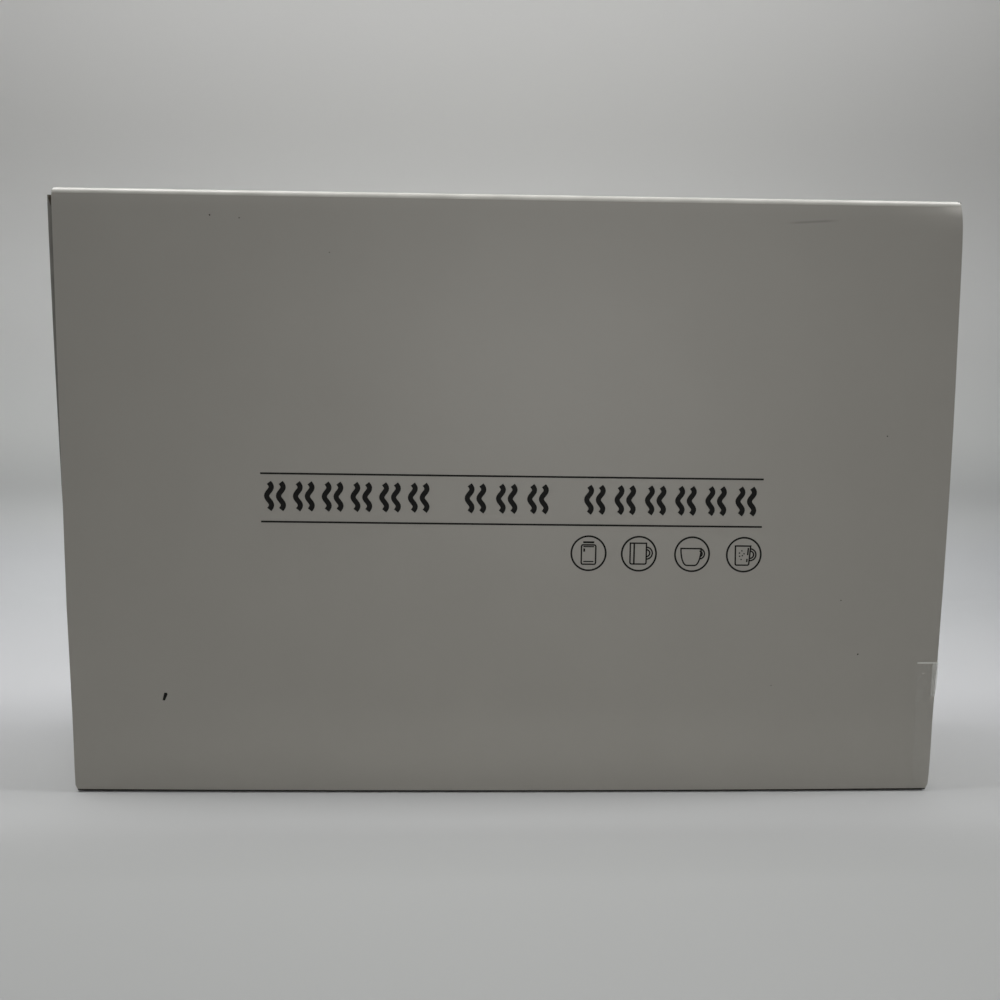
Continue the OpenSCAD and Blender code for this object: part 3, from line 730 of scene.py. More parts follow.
@dataclass(frozen=True)
class PaintedSweep(Finish):
    """Matt painted board that sweeps from the floor up the wall.

    Its seen colour is painted in bands, lighter and darker along the floor and up the wall: painted light
    and shade. It shows from its front only, so that it never hides the carton from behind. Far away from
    the carton it is seen in one even tone, which the room has too, so that neither seems to end.

    Attributes:
        bands: Distance along the floor and up the wall, and the colour that is seen there, with its painted
            light and shade.
        middle: Middle of the lit stretch.
        near: How far from there the lit stretch reaches along X, Y and Z.
        fade: Distance over which it then fades into the even tone.
        even: The even tone.
    """

    bands: tuple[tuple[float, str], ...] = (
        (-60.0, "#a6a7a6"), (-28.0, "#bcbdbd"), (40.0, "#c5c6c8"), (215.0, "#cdcfd1"), (250.0, "#d6d8d8"),
        (290.0, "#e8eae9"), (335.0, "#e4e5e4"), (430.0, "#c2c2c0"),
    )
    middle: Point3 = (0.0, 60.0, 0.0)
    near: Point3 = (258.0, 156.0, 290.0)
    fade: float = 120.0
    even: str = "#c6c8c9"

    @staticmethod
    def looked_at(tree: Tree) -> Socket:
        """Returns 1 for a ray that shows the surface, straight or in gloss or glass, and 0 for light."""
        ray = add_node(tree, "LightPath").outputs
        looked = add_node(tree, "Math", {
            0: ray["Is Camera Ray"], 1: ray["Is Glossy Ray"]}, operation="MAXIMUM")
        return add_node(tree, "Math", {
            0: looked.outputs[0], 1: ray["Is Transmission Ray"]}, operation="MAXIMUM").outputs[0]

    def dress(self, tree: Tree, shader: Node, here: Socket) -> None:
        """Adds the seen colour with its painted light and shade, the even tone far away, and the clear back.
        """
        looked = self.looked_at(tree)
        place = add_node(tree, "SeparateXYZ", {0: here})
        along = add_node(tree, "Math", {0: place.outputs[1], 1: place.outputs[2]}, operation="ADD")
        # The bands paint light and shade into the colour that is seen
        seen: Socket | Colour = linear(self.bands[0][1])
        for (start, _), (end, colour) in zip(self.bands, self.bands[1:]):
            share = add_node(tree, "MapRange", {
                0: along.outputs[0], 1: start * MM, 2: end * MM}, interpolation_type="SMOOTHSTEP")
            seen = add_node(tree, "Mix", {
                0: share.outputs[0], 6: seen, 7: linear(colour)}, data_type="RGBA").outputs[2]
        mixed = add_node(tree, "Mix", {0: looked, 6: linear(self.colour), 7: seen}, data_type="RGBA")
        tree.links.new(mixed.outputs[2], shader.inputs["Base Color"])
        beyond: Socket | float = 0.0
        for axis, (middle, near) in enumerate(zip(self.middle, self.near)):
            away = apart(tree, place.outputs[axis], middle * MM)
            share = add_node(tree, "MapRange", {
                0: away, 1: near * MM, 2: (near + self.fade) * MM}, interpolation_type="SMOOTHSTEP")
            beyond = add_node(tree, "Math", {0: beyond, 1: share.outputs[0]}, operation="MAXIMUM").outputs[0]
        far = add_node(tree, "Math", {0: looked, 1: beyond}, operation="MULTIPLY")
        glow = add_node(tree, "Emission", {"Color": linear(self.even)})
        front = add_node(tree, "MixShader", {0: far.outputs[0], 1: shader.outputs[0], 2: glow.outputs[0]})
        behind = add_node(tree, "NewGeometry").outputs["Backfacing"]
        clear = add_node(tree, "BsdfTransparent")
        both = add_node(tree, "MixShader", {0: behind, 1: front.outputs[0], 2: clear.outputs[0]})
        output = next(node for node in tree.nodes if node.bl_idname == "ShaderNodeOutputMaterial")
        tree.links.new(both.outputs[0], output.inputs["Surface"])


COAT = CoatedBoard("clay_coated_board", "#9f9c95", 0.5)
LID_PAINTED_LIGHT = PaintedLightBoard("lid_coat_painted_light", "#9f9c95", 0.5)
# The upper fold's coat is paler than the panel's: a painted highlight where the light from above
# catches the rounded fold
UPPER_CREASE_PAINTED_HIGHLIGHT = CoatedBoard("upper_crease_painted_highlight", "#c8c6bf", 0.38, tone="#b9b7b0", cloud=6.0)
# The left dust flap's swollen fold is painted darker than the coat: painted shade where the lid's
# edge shades it
LEFT_FLAP_PAINTED_SHADE = CoatedBoard("left_flap_painted_shade", "#7b7973", 0.7, tone="#6c6a64", cloud=5.0)
# The lower fold's nose is painted nearly black: painted shade of the narrow gap between the fold and
# the floor
NOSE_PAINTED_SHADE = CoatedBoard("nose_painted_shade", "#17130e", 0.95, tone="#1e1912", cloud=4.0)
LINER = KraftLiner("kraft_liner", "#8f8474", 0.85)
CUT = CutBoard("die_cut_board_edge", "#6b6354", 0.9)
INK = PrintedInk("offset_ink", "#0b0a09", 0.62, tone="#151412")
FILM = ClearFilm("polypropylene_film", "#f2f3f0", 0.2, ior=1.49)
FILM_EDGE = ClearFilm("torn_film_edge", "#f4f4ef", 0.35, ior=1.49, alpha=0.6)
FILM_LOOSE = ClearFilm("lifted_film", "#f4f4ef", 0.3, ior=1.49, alpha=0.3)
FOAM = CellFoam("polyethylene_foam", "#f3f3f0", 0.75)
PAPER = WovePaper("wove_paper", "#f0efea", 0.8)
HOUSING = MouldedPlastic("textured_abs", "#3a3c3f", 0.52, tone="#424447")
COVER = MouldedPlastic("textured_abs_cover", "#43454a", 0.5, tone="#4a4c50")
BUTTON = MouldedPlastic("satin_abs", "#c9cbcd", 0.34, tone="#bfc1c4", grain=0.25, depth=0.008)
PLUNGER = MouldedPlastic("moulded_acetal", "#d9d4c5", 0.4, tone="#cfc9b8")
CHIP = MouldedPlastic("moulded_epoxy", "#1f1f21", 0.6, tone="#29292b", grain=0.2, depth=0.01)
TERMINAL = MouldedPlastic("moulded_polyamide", "#e2dfd5", 0.45, tone="#d5d1c4")
SLEEVE = MouldedPlastic("shrunk_pvc_sleeve", "#2b3f7a", 0.3, tone="#243768", grain=0.5, depth=0.006)
SHEATH_RED = MouldedPlastic("silicone_sheath_red", "#b23a2e", 0.45, tone="#9c3026", depth=0.006)
SHEATH_DARK = MouldedPlastic("silicone_sheath_dark", "#2f3236", 0.45, tone="#3a3d41", depth=0.006)
GLASS = PolishedGlass("enamelled_glass", "#08090b", 0.05)
GASKET = Rubber("moulded_silicone", "#85898e", 0.6, tone="#93979b")
FOOT = Rubber("moulded_rubber", "#222326", 0.75)
MICA = MicaSheet("mica_paper", "#b39a6e", 0.4)
FELT = NeedledFelt("ceramic_felt", "#e4dfd0", 0.95)
SHIELD = SheetMetal("rolled_aluminium", "#c6c9cc", 0.32, metallic=1.0, tone="#b4b7ba")
ZINC = SheetMetal("zinc_plated_steel", "#a9adb0", 0.3, metallic=1.0, line=0.2, tone="#949a9a")
SHELL = SheetMetal("nickel_plated_steel", "#c4c6c6", 0.22, metallic=1.0, line=0.2, tone="#b4b5b2")
TINNED = SheetMetal("tinned_case", "#cfd2d4", 0.28, metallic=1.0, line=0.25, tone="#bdbfc1")
LAMINATE = SolderMask("solder_mask", "#17573a", 0.3)
BEAD = MouldedPlastic("dipped_epoxy", "#2d5d3c", 0.25, tone="#24503a", grain=0.8, depth=0.01)
LENS = ClearResin("clear_acrylic", "#eef0ea", 0.12, ior=1.49)
LAMP_RESIN = MouldedPlastic("phosphor_resin", "#e6df9c", 0.3, tone="#dcd48a", grain=0.3, depth=0.01)
MARK = PrintedInk("screen_ink", "#c6c8ca", 0.5, tone="#b8babc")
DARK_MARK = PrintedInk("dark_screen_ink", "#3b3d40", 0.5, tone="#46484b")
SWEEP = PaintedSweep("painted_sweep", "#b4b4b2", 0.7)


# ---- meshes ----

class Side(IntEnum):
    """Number of the finish that a face of a board or a film takes."""

    OUTER = 0
    INNER = 1
    EDGE = 2


@dataclass
class Draft:
    """Points and faces of a piece while it is made.

    Attributes:
        points: The points, in millimetres.
        faces: The faces, as numbers of points.
        sides: The number of the finish of each face.
    """

    points: list[Vector] = field(default_factory=list)
    faces: list[tuple[int, ...]] = field(default_factory=list)
    sides: list[int] = field(default_factory=list)

    def add(self, points: Sequence[Vector], faces: Sequence[Sequence[int]], side: int = 0) -> None:
        """Adds points, and faces between them.

        Args:
            points: The new points.
            faces: Faces, as numbers counted from the first new point.
            side: Number of the faces' finish.
        """
        first = len(self.points)
        self.points.extend(points)
        self.faces.extend(tuple(first + i for i in face) for face in faces)
        self.sides.extend([side] * len(faces))

    def grid(self, rows: Sequence[Sequence[Vector]], side: int = 0) -> None:
        """Adds a sheet of four-sided faces through rows of points."""
        across = len(rows[0])
        faces = [(i * across + j, i * across + j + 1, (i + 1) * across + j + 1, (i + 1) * across + j)
                 for i in range(len(rows) - 1) for j in range(across - 1)]
        self.add([p for row in rows for p in row], faces, side)

    def slab(self, rows: Rows, place: Place, thick: float,
             soft: tuple[bool, bool] = (True, True), sides: Sequence[int] = tuple(Side)) -> "Draft":
        """Adds a closed sheet of even thickness.

        Args:
            rows: Points of the sheet's own plane, in rows.
            place: Turns such a point and a depth under the outer face into a place.
            thick: The thickness.
            soft: Whether the first and last rows, and the rows' ends, are softened edges.
            sides: Numbers of the finishes of the outer face, the inner face and the edges.

        Returns:
            The draft itself.
        """
        last_i, last_j = len(rows) - 1, len(rows[0]) - 1

        def sheet(depth: float, inwards: float) -> list[list[Vector]]:
            """Returns the sheet's points at a depth, with its softened borders pulled inwards."""
            return [[place(s, t, depth + (inwards if (soft[0] and i in (0, last_i))
                                          or (soft[1] and j in (0, last_j)) else 0.0))
                     for j, (s, t) in enumerate(row)] for i, row in enumerate(rows)]

        outer, inner = sheet(0.0, RIM), sheet(thick, -RIM)
        self.grid(outer, sides[0])
        self.grid([row[::-1] for row in inner], sides[1])
        for top, bottom in ((outer[0], inner[0]), (outer[-1][::-1], inner[-1][::-1]),
                            ([row[-1] for row in outer], [row[-1] for row in inner]),
                            ([row[0] for row in outer][::-1], [row[0] for row in inner][::-1])):
            self.grid([bottom, top], sides[2])
        return self

    def recolour(self, start: int, end: int, across: int) -> None:
        """Gives an outer face's rows from start up to end, across points wide, the finish after EDGE."""
        first, last = start * (across - 1), end * (across - 1)
        self.sides[first:last] = [len(Side)] * (last - first)

    def ribbon(self, line: Sequence[Point2], width: float, place: Place, closed: bool = False) -> None:
        """Adds a thin flat stroke along a line.

        Args:
            line: Points of the line in the surface's own plane.
            width: Width of the stroke.
            place: Turns such a point and a depth under the surface into a place.
            closed: Whether the line's end meets its start.
        """
        flat = [Vector(p) for p in line]
        count = len(flat)
        rings = []
        for i, here in enumerate(flat):
            before = flat[i - 1] if closed or i else here
            after = flat[(i + 1) % count] if closed or i < count - 1 else here
            incoming = (here - before).normalized() if here != before else (after - here).normalized()
            outgoing = (after - here).normalized() if after != here else incoming
            along = (incoming + outgoing).normalized()
            across = Vector((-along.y, along.x))
            reach = width / 2 / max(along.dot(outgoing), SHARPEST)
            left, right = here + across * reach, here - across * reach
            rings.append([place(left.x, left.y, -INKED), place(right.x, right.y, -INKED),
                          place(right.x, right.y, INKED), place(left.x, left.y, INKED)])
        faces = []
        for i in range(count if closed else count - 1):
            a, b = 4 * i, 4 * ((i + 1) % count)
            faces += [(a + k, a + (k + 1) % 4, b + (k + 1) % 4, b + k) for k in range(4)]
        if not closed:
            faces += [(3, 2, 1, 0), tuple(4 * (count - 1) + k for k in range(4))]
        self.add([p for ring in rings for p in ring], faces)

    def patch(self, outline: Sequence[Point2], place: Place) -> None:
        """Adds a thin flat spot inside a small outline.

        Args:
            outline: Corners of the spot in the surface's own plane.
            place: Turns such a point and a depth under the surface into a place.
        """
        count = len(outline)
        points = [place(s, t, depth) for depth in (-INKED, INKED) for s, t in outline]
        faces = [tuple(range(count)), tuple(range(2 * count - 1, count - 1, -1))]
        faces += [(i, i + count, (i + 1) % count + count, (i + 1) % count) for i in range(count)]
        self.add(points, faces)

    def piece(self, name: str, finishes: Sequence[Finish], crease: float = 35.0) -> Piece:
        """Makes the piece.

        Args:
            name: The piece's name.
            finishes: Its finishes, in the order of their numbers.
            crease: Angle in degrees above which an edge stays sharp.

        Returns:
            The new object.
        """
        mesh = bpy.data.meshes.new(name)
        mesh.from_pydata([p * MM for p in self.points], [], self.faces)
        for finish in finishes:
            mesh.materials.append(finish.material())
        mesh.polygons.foreach_set("material_index", self.sides)
        work = bmesh.new()
        work.from_mesh(mesh)
        bmesh.ops.remove_doubles(work, verts=work.verts, dist=WELD * MM)
        bmesh.ops.recalc_face_normals(work, faces=work.faces)
        work.to_mesh(mesh)
        work.free()
        made = bpy.data.objects.new(name, mesh)
        bpy.context.scene.collection.objects.link(made)
        soften(made, crease)
        return made


def soften(piece: Piece, crease: float) -> None:
    """Shades a piece smooth, with every edge sharper than crease degrees left sharp."""
    piece.data.shade_smooth()
    piece.data.set_sharp_from_angle(angle=math.radians(crease))


def spread(low: float, high: float, cells: int, rim: float = 0.0) -> list[float]:
    """Returns even steps from low to high, with an extra step at the distance rim from each end."""
    steps = [blend(low, high, i / cells) for i in range(cells + 1)]
    return steps if not rim else [low, low + rim, *steps[1:-1], high - rim, high]


def arc(middle: Point2, radius: float, start: float, end: float, steps: int) -> list[Point2]:
    """Returns points along an arc, between two angles in degrees."""
    angles = (math.radians(blend(start, end, i / steps)) for i in range(steps + 1))
    return [(middle[0] + radius * math.cos(a), middle[1] + radius * math.sin(a)) for a in angles]


def ring(middle: Point2, radius: float, steps: int = 64) -> list[Point2]:
    """Returns the points of a circle, without its first point repeated."""
    return arc(middle, radius, 0.0, 360.0, steps)[:-1]


def straight(start: Point2, end: Point2, step: float = 1.5) -> list[Point2]:
    """Returns points along a straight line, about step apart."""
    count = max(1, round(math.dist(start, end) / step))
    return [(blend(start[0], end[0], i / count), blend(start[1], end[1], i / count))
            for i in range(count + 1)]


def path(*corners: Point2) -> list[Point2]:
    """Returns points along a line with several corners."""
    points = [corners[0]]
    for start, end in zip(corners, corners[1:]):
        points += straight(start, end)[1:]
    return points


def beside(course: Sequence[Point2], step: float, offset: float) -> Point2:
    """Returns the point at a step of a course, moved to the right of its direction by offset."""
    here = int(step)
    before, after = course[max(here - 1, 0)], course[min(here + 1, len(course) - 1)]
    along = (Vector(after) - Vector(before)).normalized()
    x, y = course[here]
    return x + along.y * offset, y - along.x * offset


def settle(piece: Piece, body: str, slot: str, *nodes: str) -> None:
    """Puts a finished piece on its body and hides the nodes that it stands for."""
    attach(piece, body)
    if nodes:
        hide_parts(*nodes)
    log.info("%s rides on %s", piece.name, body)


def paint(node: str, finish: Finish) -> None:
    """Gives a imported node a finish."""
    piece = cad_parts[node]
    piece.data.materials.clear()
    piece.data.materials.append(finish.material())
    log.info("%s is %s", node, finish.name)


# ---- carton ----

@dataclass(frozen=True)
class BoardStock:
    """The board that the carton is folded from.

    Attributes:
        thick: Thickness of the board.
        fold: Outer radius of a fold.
        lift: How far a crease's skin stands proud of the walls beside it.
    """

    thick: float = 0.8
    fold: float = 1.3
    lift: float = 0.01

    def sheet(self, rows: Rows, place: Place,
              soft: tuple[bool, bool] = (False, True)) -> Draft:
        """Returns a draft of a sheet of the board through rows of points."""
        return Draft().slab(rows, place, self.thick, soft)

    def finishes(self) -> list[Finish]:
        """Returns the finishes of a panel's outer face, inner face and cut edges."""
        return [COAT, LINER, CUT]


@dataclass
class Lid:
    """Printed front panel with its two rounded folds, slightly bowed and uneven as packed cartons are.

    Attributes:
        stock: The board.
        front: Plane of the closed lid.
        bottom: Height at which the lower fold begins.
        top: Height at which the upper fold begins.
        corner: Radius of the lid's lower corners.
        peaks: Radius of its upper left corner, and of the upper right one.
        foot: Height of the lower raw edge.
        head: Height of the carton.
        left_top: Left edge at the top, where the side fold shows beside it.
        left: Left edge at left_at, where it is nearly flush with the wall.
        left_at: Height of that place.
        left_foot: Left edge at the bottom.
        right: Right edge at top and bottom.
        right_bow: How far the right edge bows outwards at mid height, and the exponent of the bow's shape.
        bulge: How far the middle of the panel bulges forwards.
        bulge_reach: Distance from the middle at which it stops bulging.
        kick: How far the tuck flap pushes the lower edge forwards where it pushes most.
        kick_at: Where along the edge that is.
        kick_reach: Distance from there at which it stops pushing, sideways and upwards.
        nose: Radius of the crushed lower fold.
        nose_turn: Angle through which that radius goes round, in degrees.
        knee: Height of a row of points between the lower fold's beginning and its nose.
        heel: Place in Y and Z where the fold's outside has turned back over the bottom wall.
        sill: Height of the lowest place of that fold.
        sag: How much lower it hangs where the flap pushes most.
        sag_from: Height below which it sags, and how much further down it sags fully.
        crown: How far the panel stands forward below the upper crease, and how far down that builds up.
        puff: The same at the upper right corner, where the crease is softer still.
        puff_reach: How far to the left the softer stretch reaches, and how far down it dies away.
        fold_turn: Angle through which the upper fold goes round, in degrees.
        ripple: Depth of the slight unevenness.
        ripples: Size along X and Z, layer and share of each of its parts.
        calm: Distance from the folds over which it builds up.
        cells: Number of the panel's mesh cells across, up to the soft stretch and up that stretch.
        fold_cells: Number of the upper fold's, round it and across.
    """

    stock: BoardStock
    front: float = -23.0
    bottom: float = 2.1
    top: float = 127.2
    corner: float = 0.4
    peaks: Point2 = (0.75, 0.85)
    foot: float = 0.6
    head: float = 128.5
    left_top: float = -94.4
    left: float = -94.85
    left_at: float = 42.0
    left_foot: float = -94.4
    right: float = 94.0
    right_bow: Point2 = (1.4, 0.7)
    bulge: float = 0.7
    bulge_reach: float = 95.09
    kick: float = 1.3
    kick_at: float = 15.0
    kick_reach: Point2 = (128.0, 18.0)
    nose: float = 0.46
    nose_turn: int = 135
    knee: float = 1.5
    heel: Point2 = (-22.56, 0.88)
    sill: float = 0.3
    sag: float = 0.2
    sag_from: Point2 = (1.6, 0.8)
    crown: Point2 = (0.1, 2.2)
    puff: Point2 = (0.55, 5.0)
    puff_reach: Point2 = (17.0, 25.0)
    fold_turn: float = 73.5
    ripple: float = 0.09
    ripples: tuple[tuple[float, float, float, float], ...] = ((46.0, 38.0, 0.0, 1.0), (17.0, 15.0, 5.0, 0.4))
    calm: float = 14.0
    cells: tuple[int, int, int] = (118, 78, 12)
    fold_cells: tuple[int, int] = (12, 60)

    def left_edge(self, z: float) -> float:
        """Returns the left edge at a height, without the corners."""
        if z < self.left_at:
            return blend(self.left_foot, self.left, max(z, 0.0) / self.left_at)
        return blend(self.left, self.left_top, (z - self.left_at) / (self.top - self.left_at))

    def right_edge(self, z: float) -> float:
        """Returns the right edge at a height, without the corners."""
        bow, fullness = self.right_bow
        return self.right + bow * math.sin(math.pi * held(z / self.head)) ** fullness

    def cut_back(self, z: float, peak: float) -> float:
        """Returns how far a corner's rounding takes an edge in at a height."""
        radius = self.corner if z < self.head / 2 else peak
        into = max(self.foot + radius - z, z - (self.head - radius), 0.0)
        return radius - math.sqrt(max(radius ** 2 - into ** 2, 0.0))

    def span(self, z: float) -> Point2:
        """Returns the left and the right edge at a height."""
        return (self.left_edge(z) + self.cut_back(z, self.peaks[0]),
                self.right_edge(z) - self.cut_back(z, self.peaks[1]))

    def rolled(self, x: float, z: float) -> float:
        """Returns how far the soft upper crease lets the panel stand forward at a place below it."""
        down = self.top - z
        size, deep = self.puff
        across, below = self.puff_reach
        puffed = eased(1 + (x - self.right) / across) * (1 - eased((down - deep) / below))
        return sum(height * math.sin(math.pi / 2 * min(down / reach, 1.0))
                   for height, reach in (self.crown, (size * puffed, deep)))

    def kicked(self, x: float, z: float) -> float:
        """Returns how far the tuck flap pushes the panel forwards at a place."""
        across, above = self.kick_reach
        along = max(0.0, 1 - ((x - self.kick_at) / across) ** 2)
        return self.kick * along * (1 - eased((z - self.bottom) / above))

    def swell(self, x: float, z: float) -> float:
        """Returns how far the panel stands forward of its plane at a place."""
        calmed = eased((z - self.bottom) / self.calm) * eased((self.top - z) / self.calm)
        across = max(0.0, 1 - (x / self.bulge_reach) ** 2)
        up = math.sin(math.pi * held((z - self.bottom) / (self.top - self.bottom)))
        uneven = sum(share * noise.noise(Vector((x / wide, layer, z / high)))
                     for wide, high, layer, share in self.ripples)
        return (self.bulge * across * up + self.ripple * uneven * calmed + self.kicked(x, z)
                + self.rolled(x, z))

    def place(self, x: float, z: float, depth: float) -> Vector:
        """Returns the place at a depth under the lid's outer face."""
        return Vector((x, self.front - self.swell(x, z) + depth, z))

    def panel(self) -> None:
        """Makes the panel between the two folds."""
        across, up, up_soft = self.cells
        soft = self.top - self.puff[1]
        heights = [*spread(self.bottom, soft, up), *spread(soft, self.top, up_soft)[1:]]
        rows = [[(x, z) for x in spread(*self.span(z), across, RIM)] for z in heights]
        # The panel's coat carries a painted highlight at its upper right corner and the painted shade of a
        # crease
        piece = self.stock.sheet(rows, self.place).piece("lid_panel_bowed", [LID_PAINTED_LIGHT, LINER, CUT])
        settle(piece, "lid", "carton_board", "lid_panel")

    def upper_fold(self) -> None:
        """Makes the rounded fold between the top wall and the lid."""
        middle_y = self.front + self.stock.fold
        end = self.fold_turn

        def place(angle: float, x: float, depth: float) -> Vector:
            """Returns the place at an angle above the lid's end of the fold."""
            radius = self.stock.fold + self.stock.lift - depth
            turn = math.radians(angle)
            return Vector((x, middle_y - radius * math.cos(turn), self.top + radius * math.sin(turn)))

        around, across = self.fold_cells
        rows = []
        for angle in spread(0.0, end, around):
            low, high = self.span(place(angle, 0.0, 0.0).z)
            rows.append([(angle, x) for x in spread(low, high, across, RIM)])
        # The fold takes the paler coat, a painted highlight along its rounded top
        fold = self.stock.sheet(rows, place).piece("lid_fold", [UPPER_CREASE_PAINTED_HIGHLIGHT, LINER, CUT])
        place(end, 0, 0) * MM
        place(0, 0, 0) * MM
        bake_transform(fold)
        log.info("lid_fold bends between carton and lid")

    def hang(self) -> list[Point2]:
        """Returns the lower fold's outside where it hangs below the panel, in depth and height."""
        turns = (math.radians(a) for a in range(0, self.nose_turn + 1, 15))
        return [(0.0, self.bottom), (0.0, self.knee),
                *((self.nose * (1 - math.cos(a)), self.sill + self.nose * (1 - math.sin(a))) for a in turns)]

    def lower_fold(self, tuck: "TuckFlap") -> None:
        """Makes the tight crushed fold between the lid and its tuck flap.

        It hangs down in front of the bottom wall's raw end and then turns back over that wall.
        """
        hang = self.hang()
        root = tuck.place(tuck.start, 0.0, 0.0)
        under = tuck.place(tuck.start, 0.0, self.stock.thick)
        count = len(hang) + 2
        sag_top, sag_reach = self.sag_from

        def place(step: float, x: float, depth: float) -> Vector:
            """Returns the place at a step along the fold, between its outer and its inner face."""
            face = self.place(x, self.bottom, 0.0).y
            sag = self.sag * self.kicked(x, self.bottom) / self.kick
            outer = [*((face + y, z - sag * eased((sag_top - z) / sag_reach)) for y, z in hang), self.heel,
                     (root.y, root.z)]
            share, (y, z) = depth / self.stock.thick, outer[int(step)]
            along = step / (count - 1)
            return Vector((x, blend(y, blend(face + self.stock.thick, under.y, along), share),
                           blend(z, blend(self.bottom, under.z, along), share)))

        rows = []
        for step in range(count):
            low, high = self.span(max(place(step, 0.0, 0.0).z, self.foot))
            # The last three steps run in from the lid's width to the flap's narrower root
            taper = eased((step - len(hang) + 2) / 3)
            rows.append([(step, x) for x in spread(blend(low, -tuck.root, taper),
                                                   blend(high, tuck.root, taper), self.cells[0], RIM)])
        draft = self.stock.sheet(rows, place)
        # The rows round the nose take the nearly black coat, painted shade of the gap under the fold
        draft.recolour(2, len(hang), len(rows[0]))
        fold = draft.piece("tuck_fold", [*self.stock.finishes(), NOSE_PAINTED_SHADE])
        place(0, 0, 0) * MM
        place(count - 1, 0, 0) * MM
        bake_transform(fold)
        log.info("tuck_fold bends between lid and tuck")


@dataclass
class TuckFlap:
    """Flap at the lid's lower edge, which leans up from the bottom wall.

    Attributes:
        stock: The board.
        front: Plane of the closed lid.
        foot: Height of the fold's outside.
        lean: Lean above the level, in degrees.
        start: Distance of the flap's root from the lid's plane.
        length: Distance of its tip from the lid's plane.
        shoulder: Distance at which its sides begin to run in.
        root: Half its width at the root.
        tip: Half its width at the tip.
        round: Radius of the tip's corners.
        cells: Number of its mesh cells along, up to those corners, and across.
    """

    stock: BoardStock
    front: float = -23.0
    foot: float = 0.95
    lean: float = 8.0
    start: float = 1.15
    length: float = 22.0
    shoulder: float = 6.6
    root: float = 92.2
    tip: float = 86.2
    round: float = 6.0
    cells: tuple[int, int] = (8, 40)

    def place(self, s: float, x: float, depth: float) -> Vector:
        """Returns the place at a distance from the lid's plane, at a depth above the flap's underside."""
        rise, run = math.sin(math.radians(self.lean)), math.cos(math.radians(self.lean))
        return Vector((x, self.front + s * run - depth * rise, self.foot + s * rise + depth * run))

    def half_width(self, s: float) -> float:
        """Returns half the flap's width at a distance from the lid's plane."""
        share = max(0.0, (s - self.shoulder) / (self.length - self.shoulder))
        into = max(0.0, s - (self.length - self.round))
        return blend(self.root, self.tip, share) - self.round + math.sqrt(self.round ** 2 - into ** 2)

    def make(self) -> None:
        """Makes the flap."""
        along, across = self.cells
        stops = [*spread(self.start, self.length - self.round, along)[:-1],
                 *(self.length - self.round * math.cos(math.radians(a)) for a in range(90, -1, -10))]
        rows = [[(s, x) for x in spread(-self.half_width(s), self.half_width(s), across, RIM)] for s in stops]
        piece = self.stock.sheet(rows, self.place).piece("tuck_flap_board", self.stock.finishes())
        settle(piece, "tuck", "carton_board", "tuck_flap")


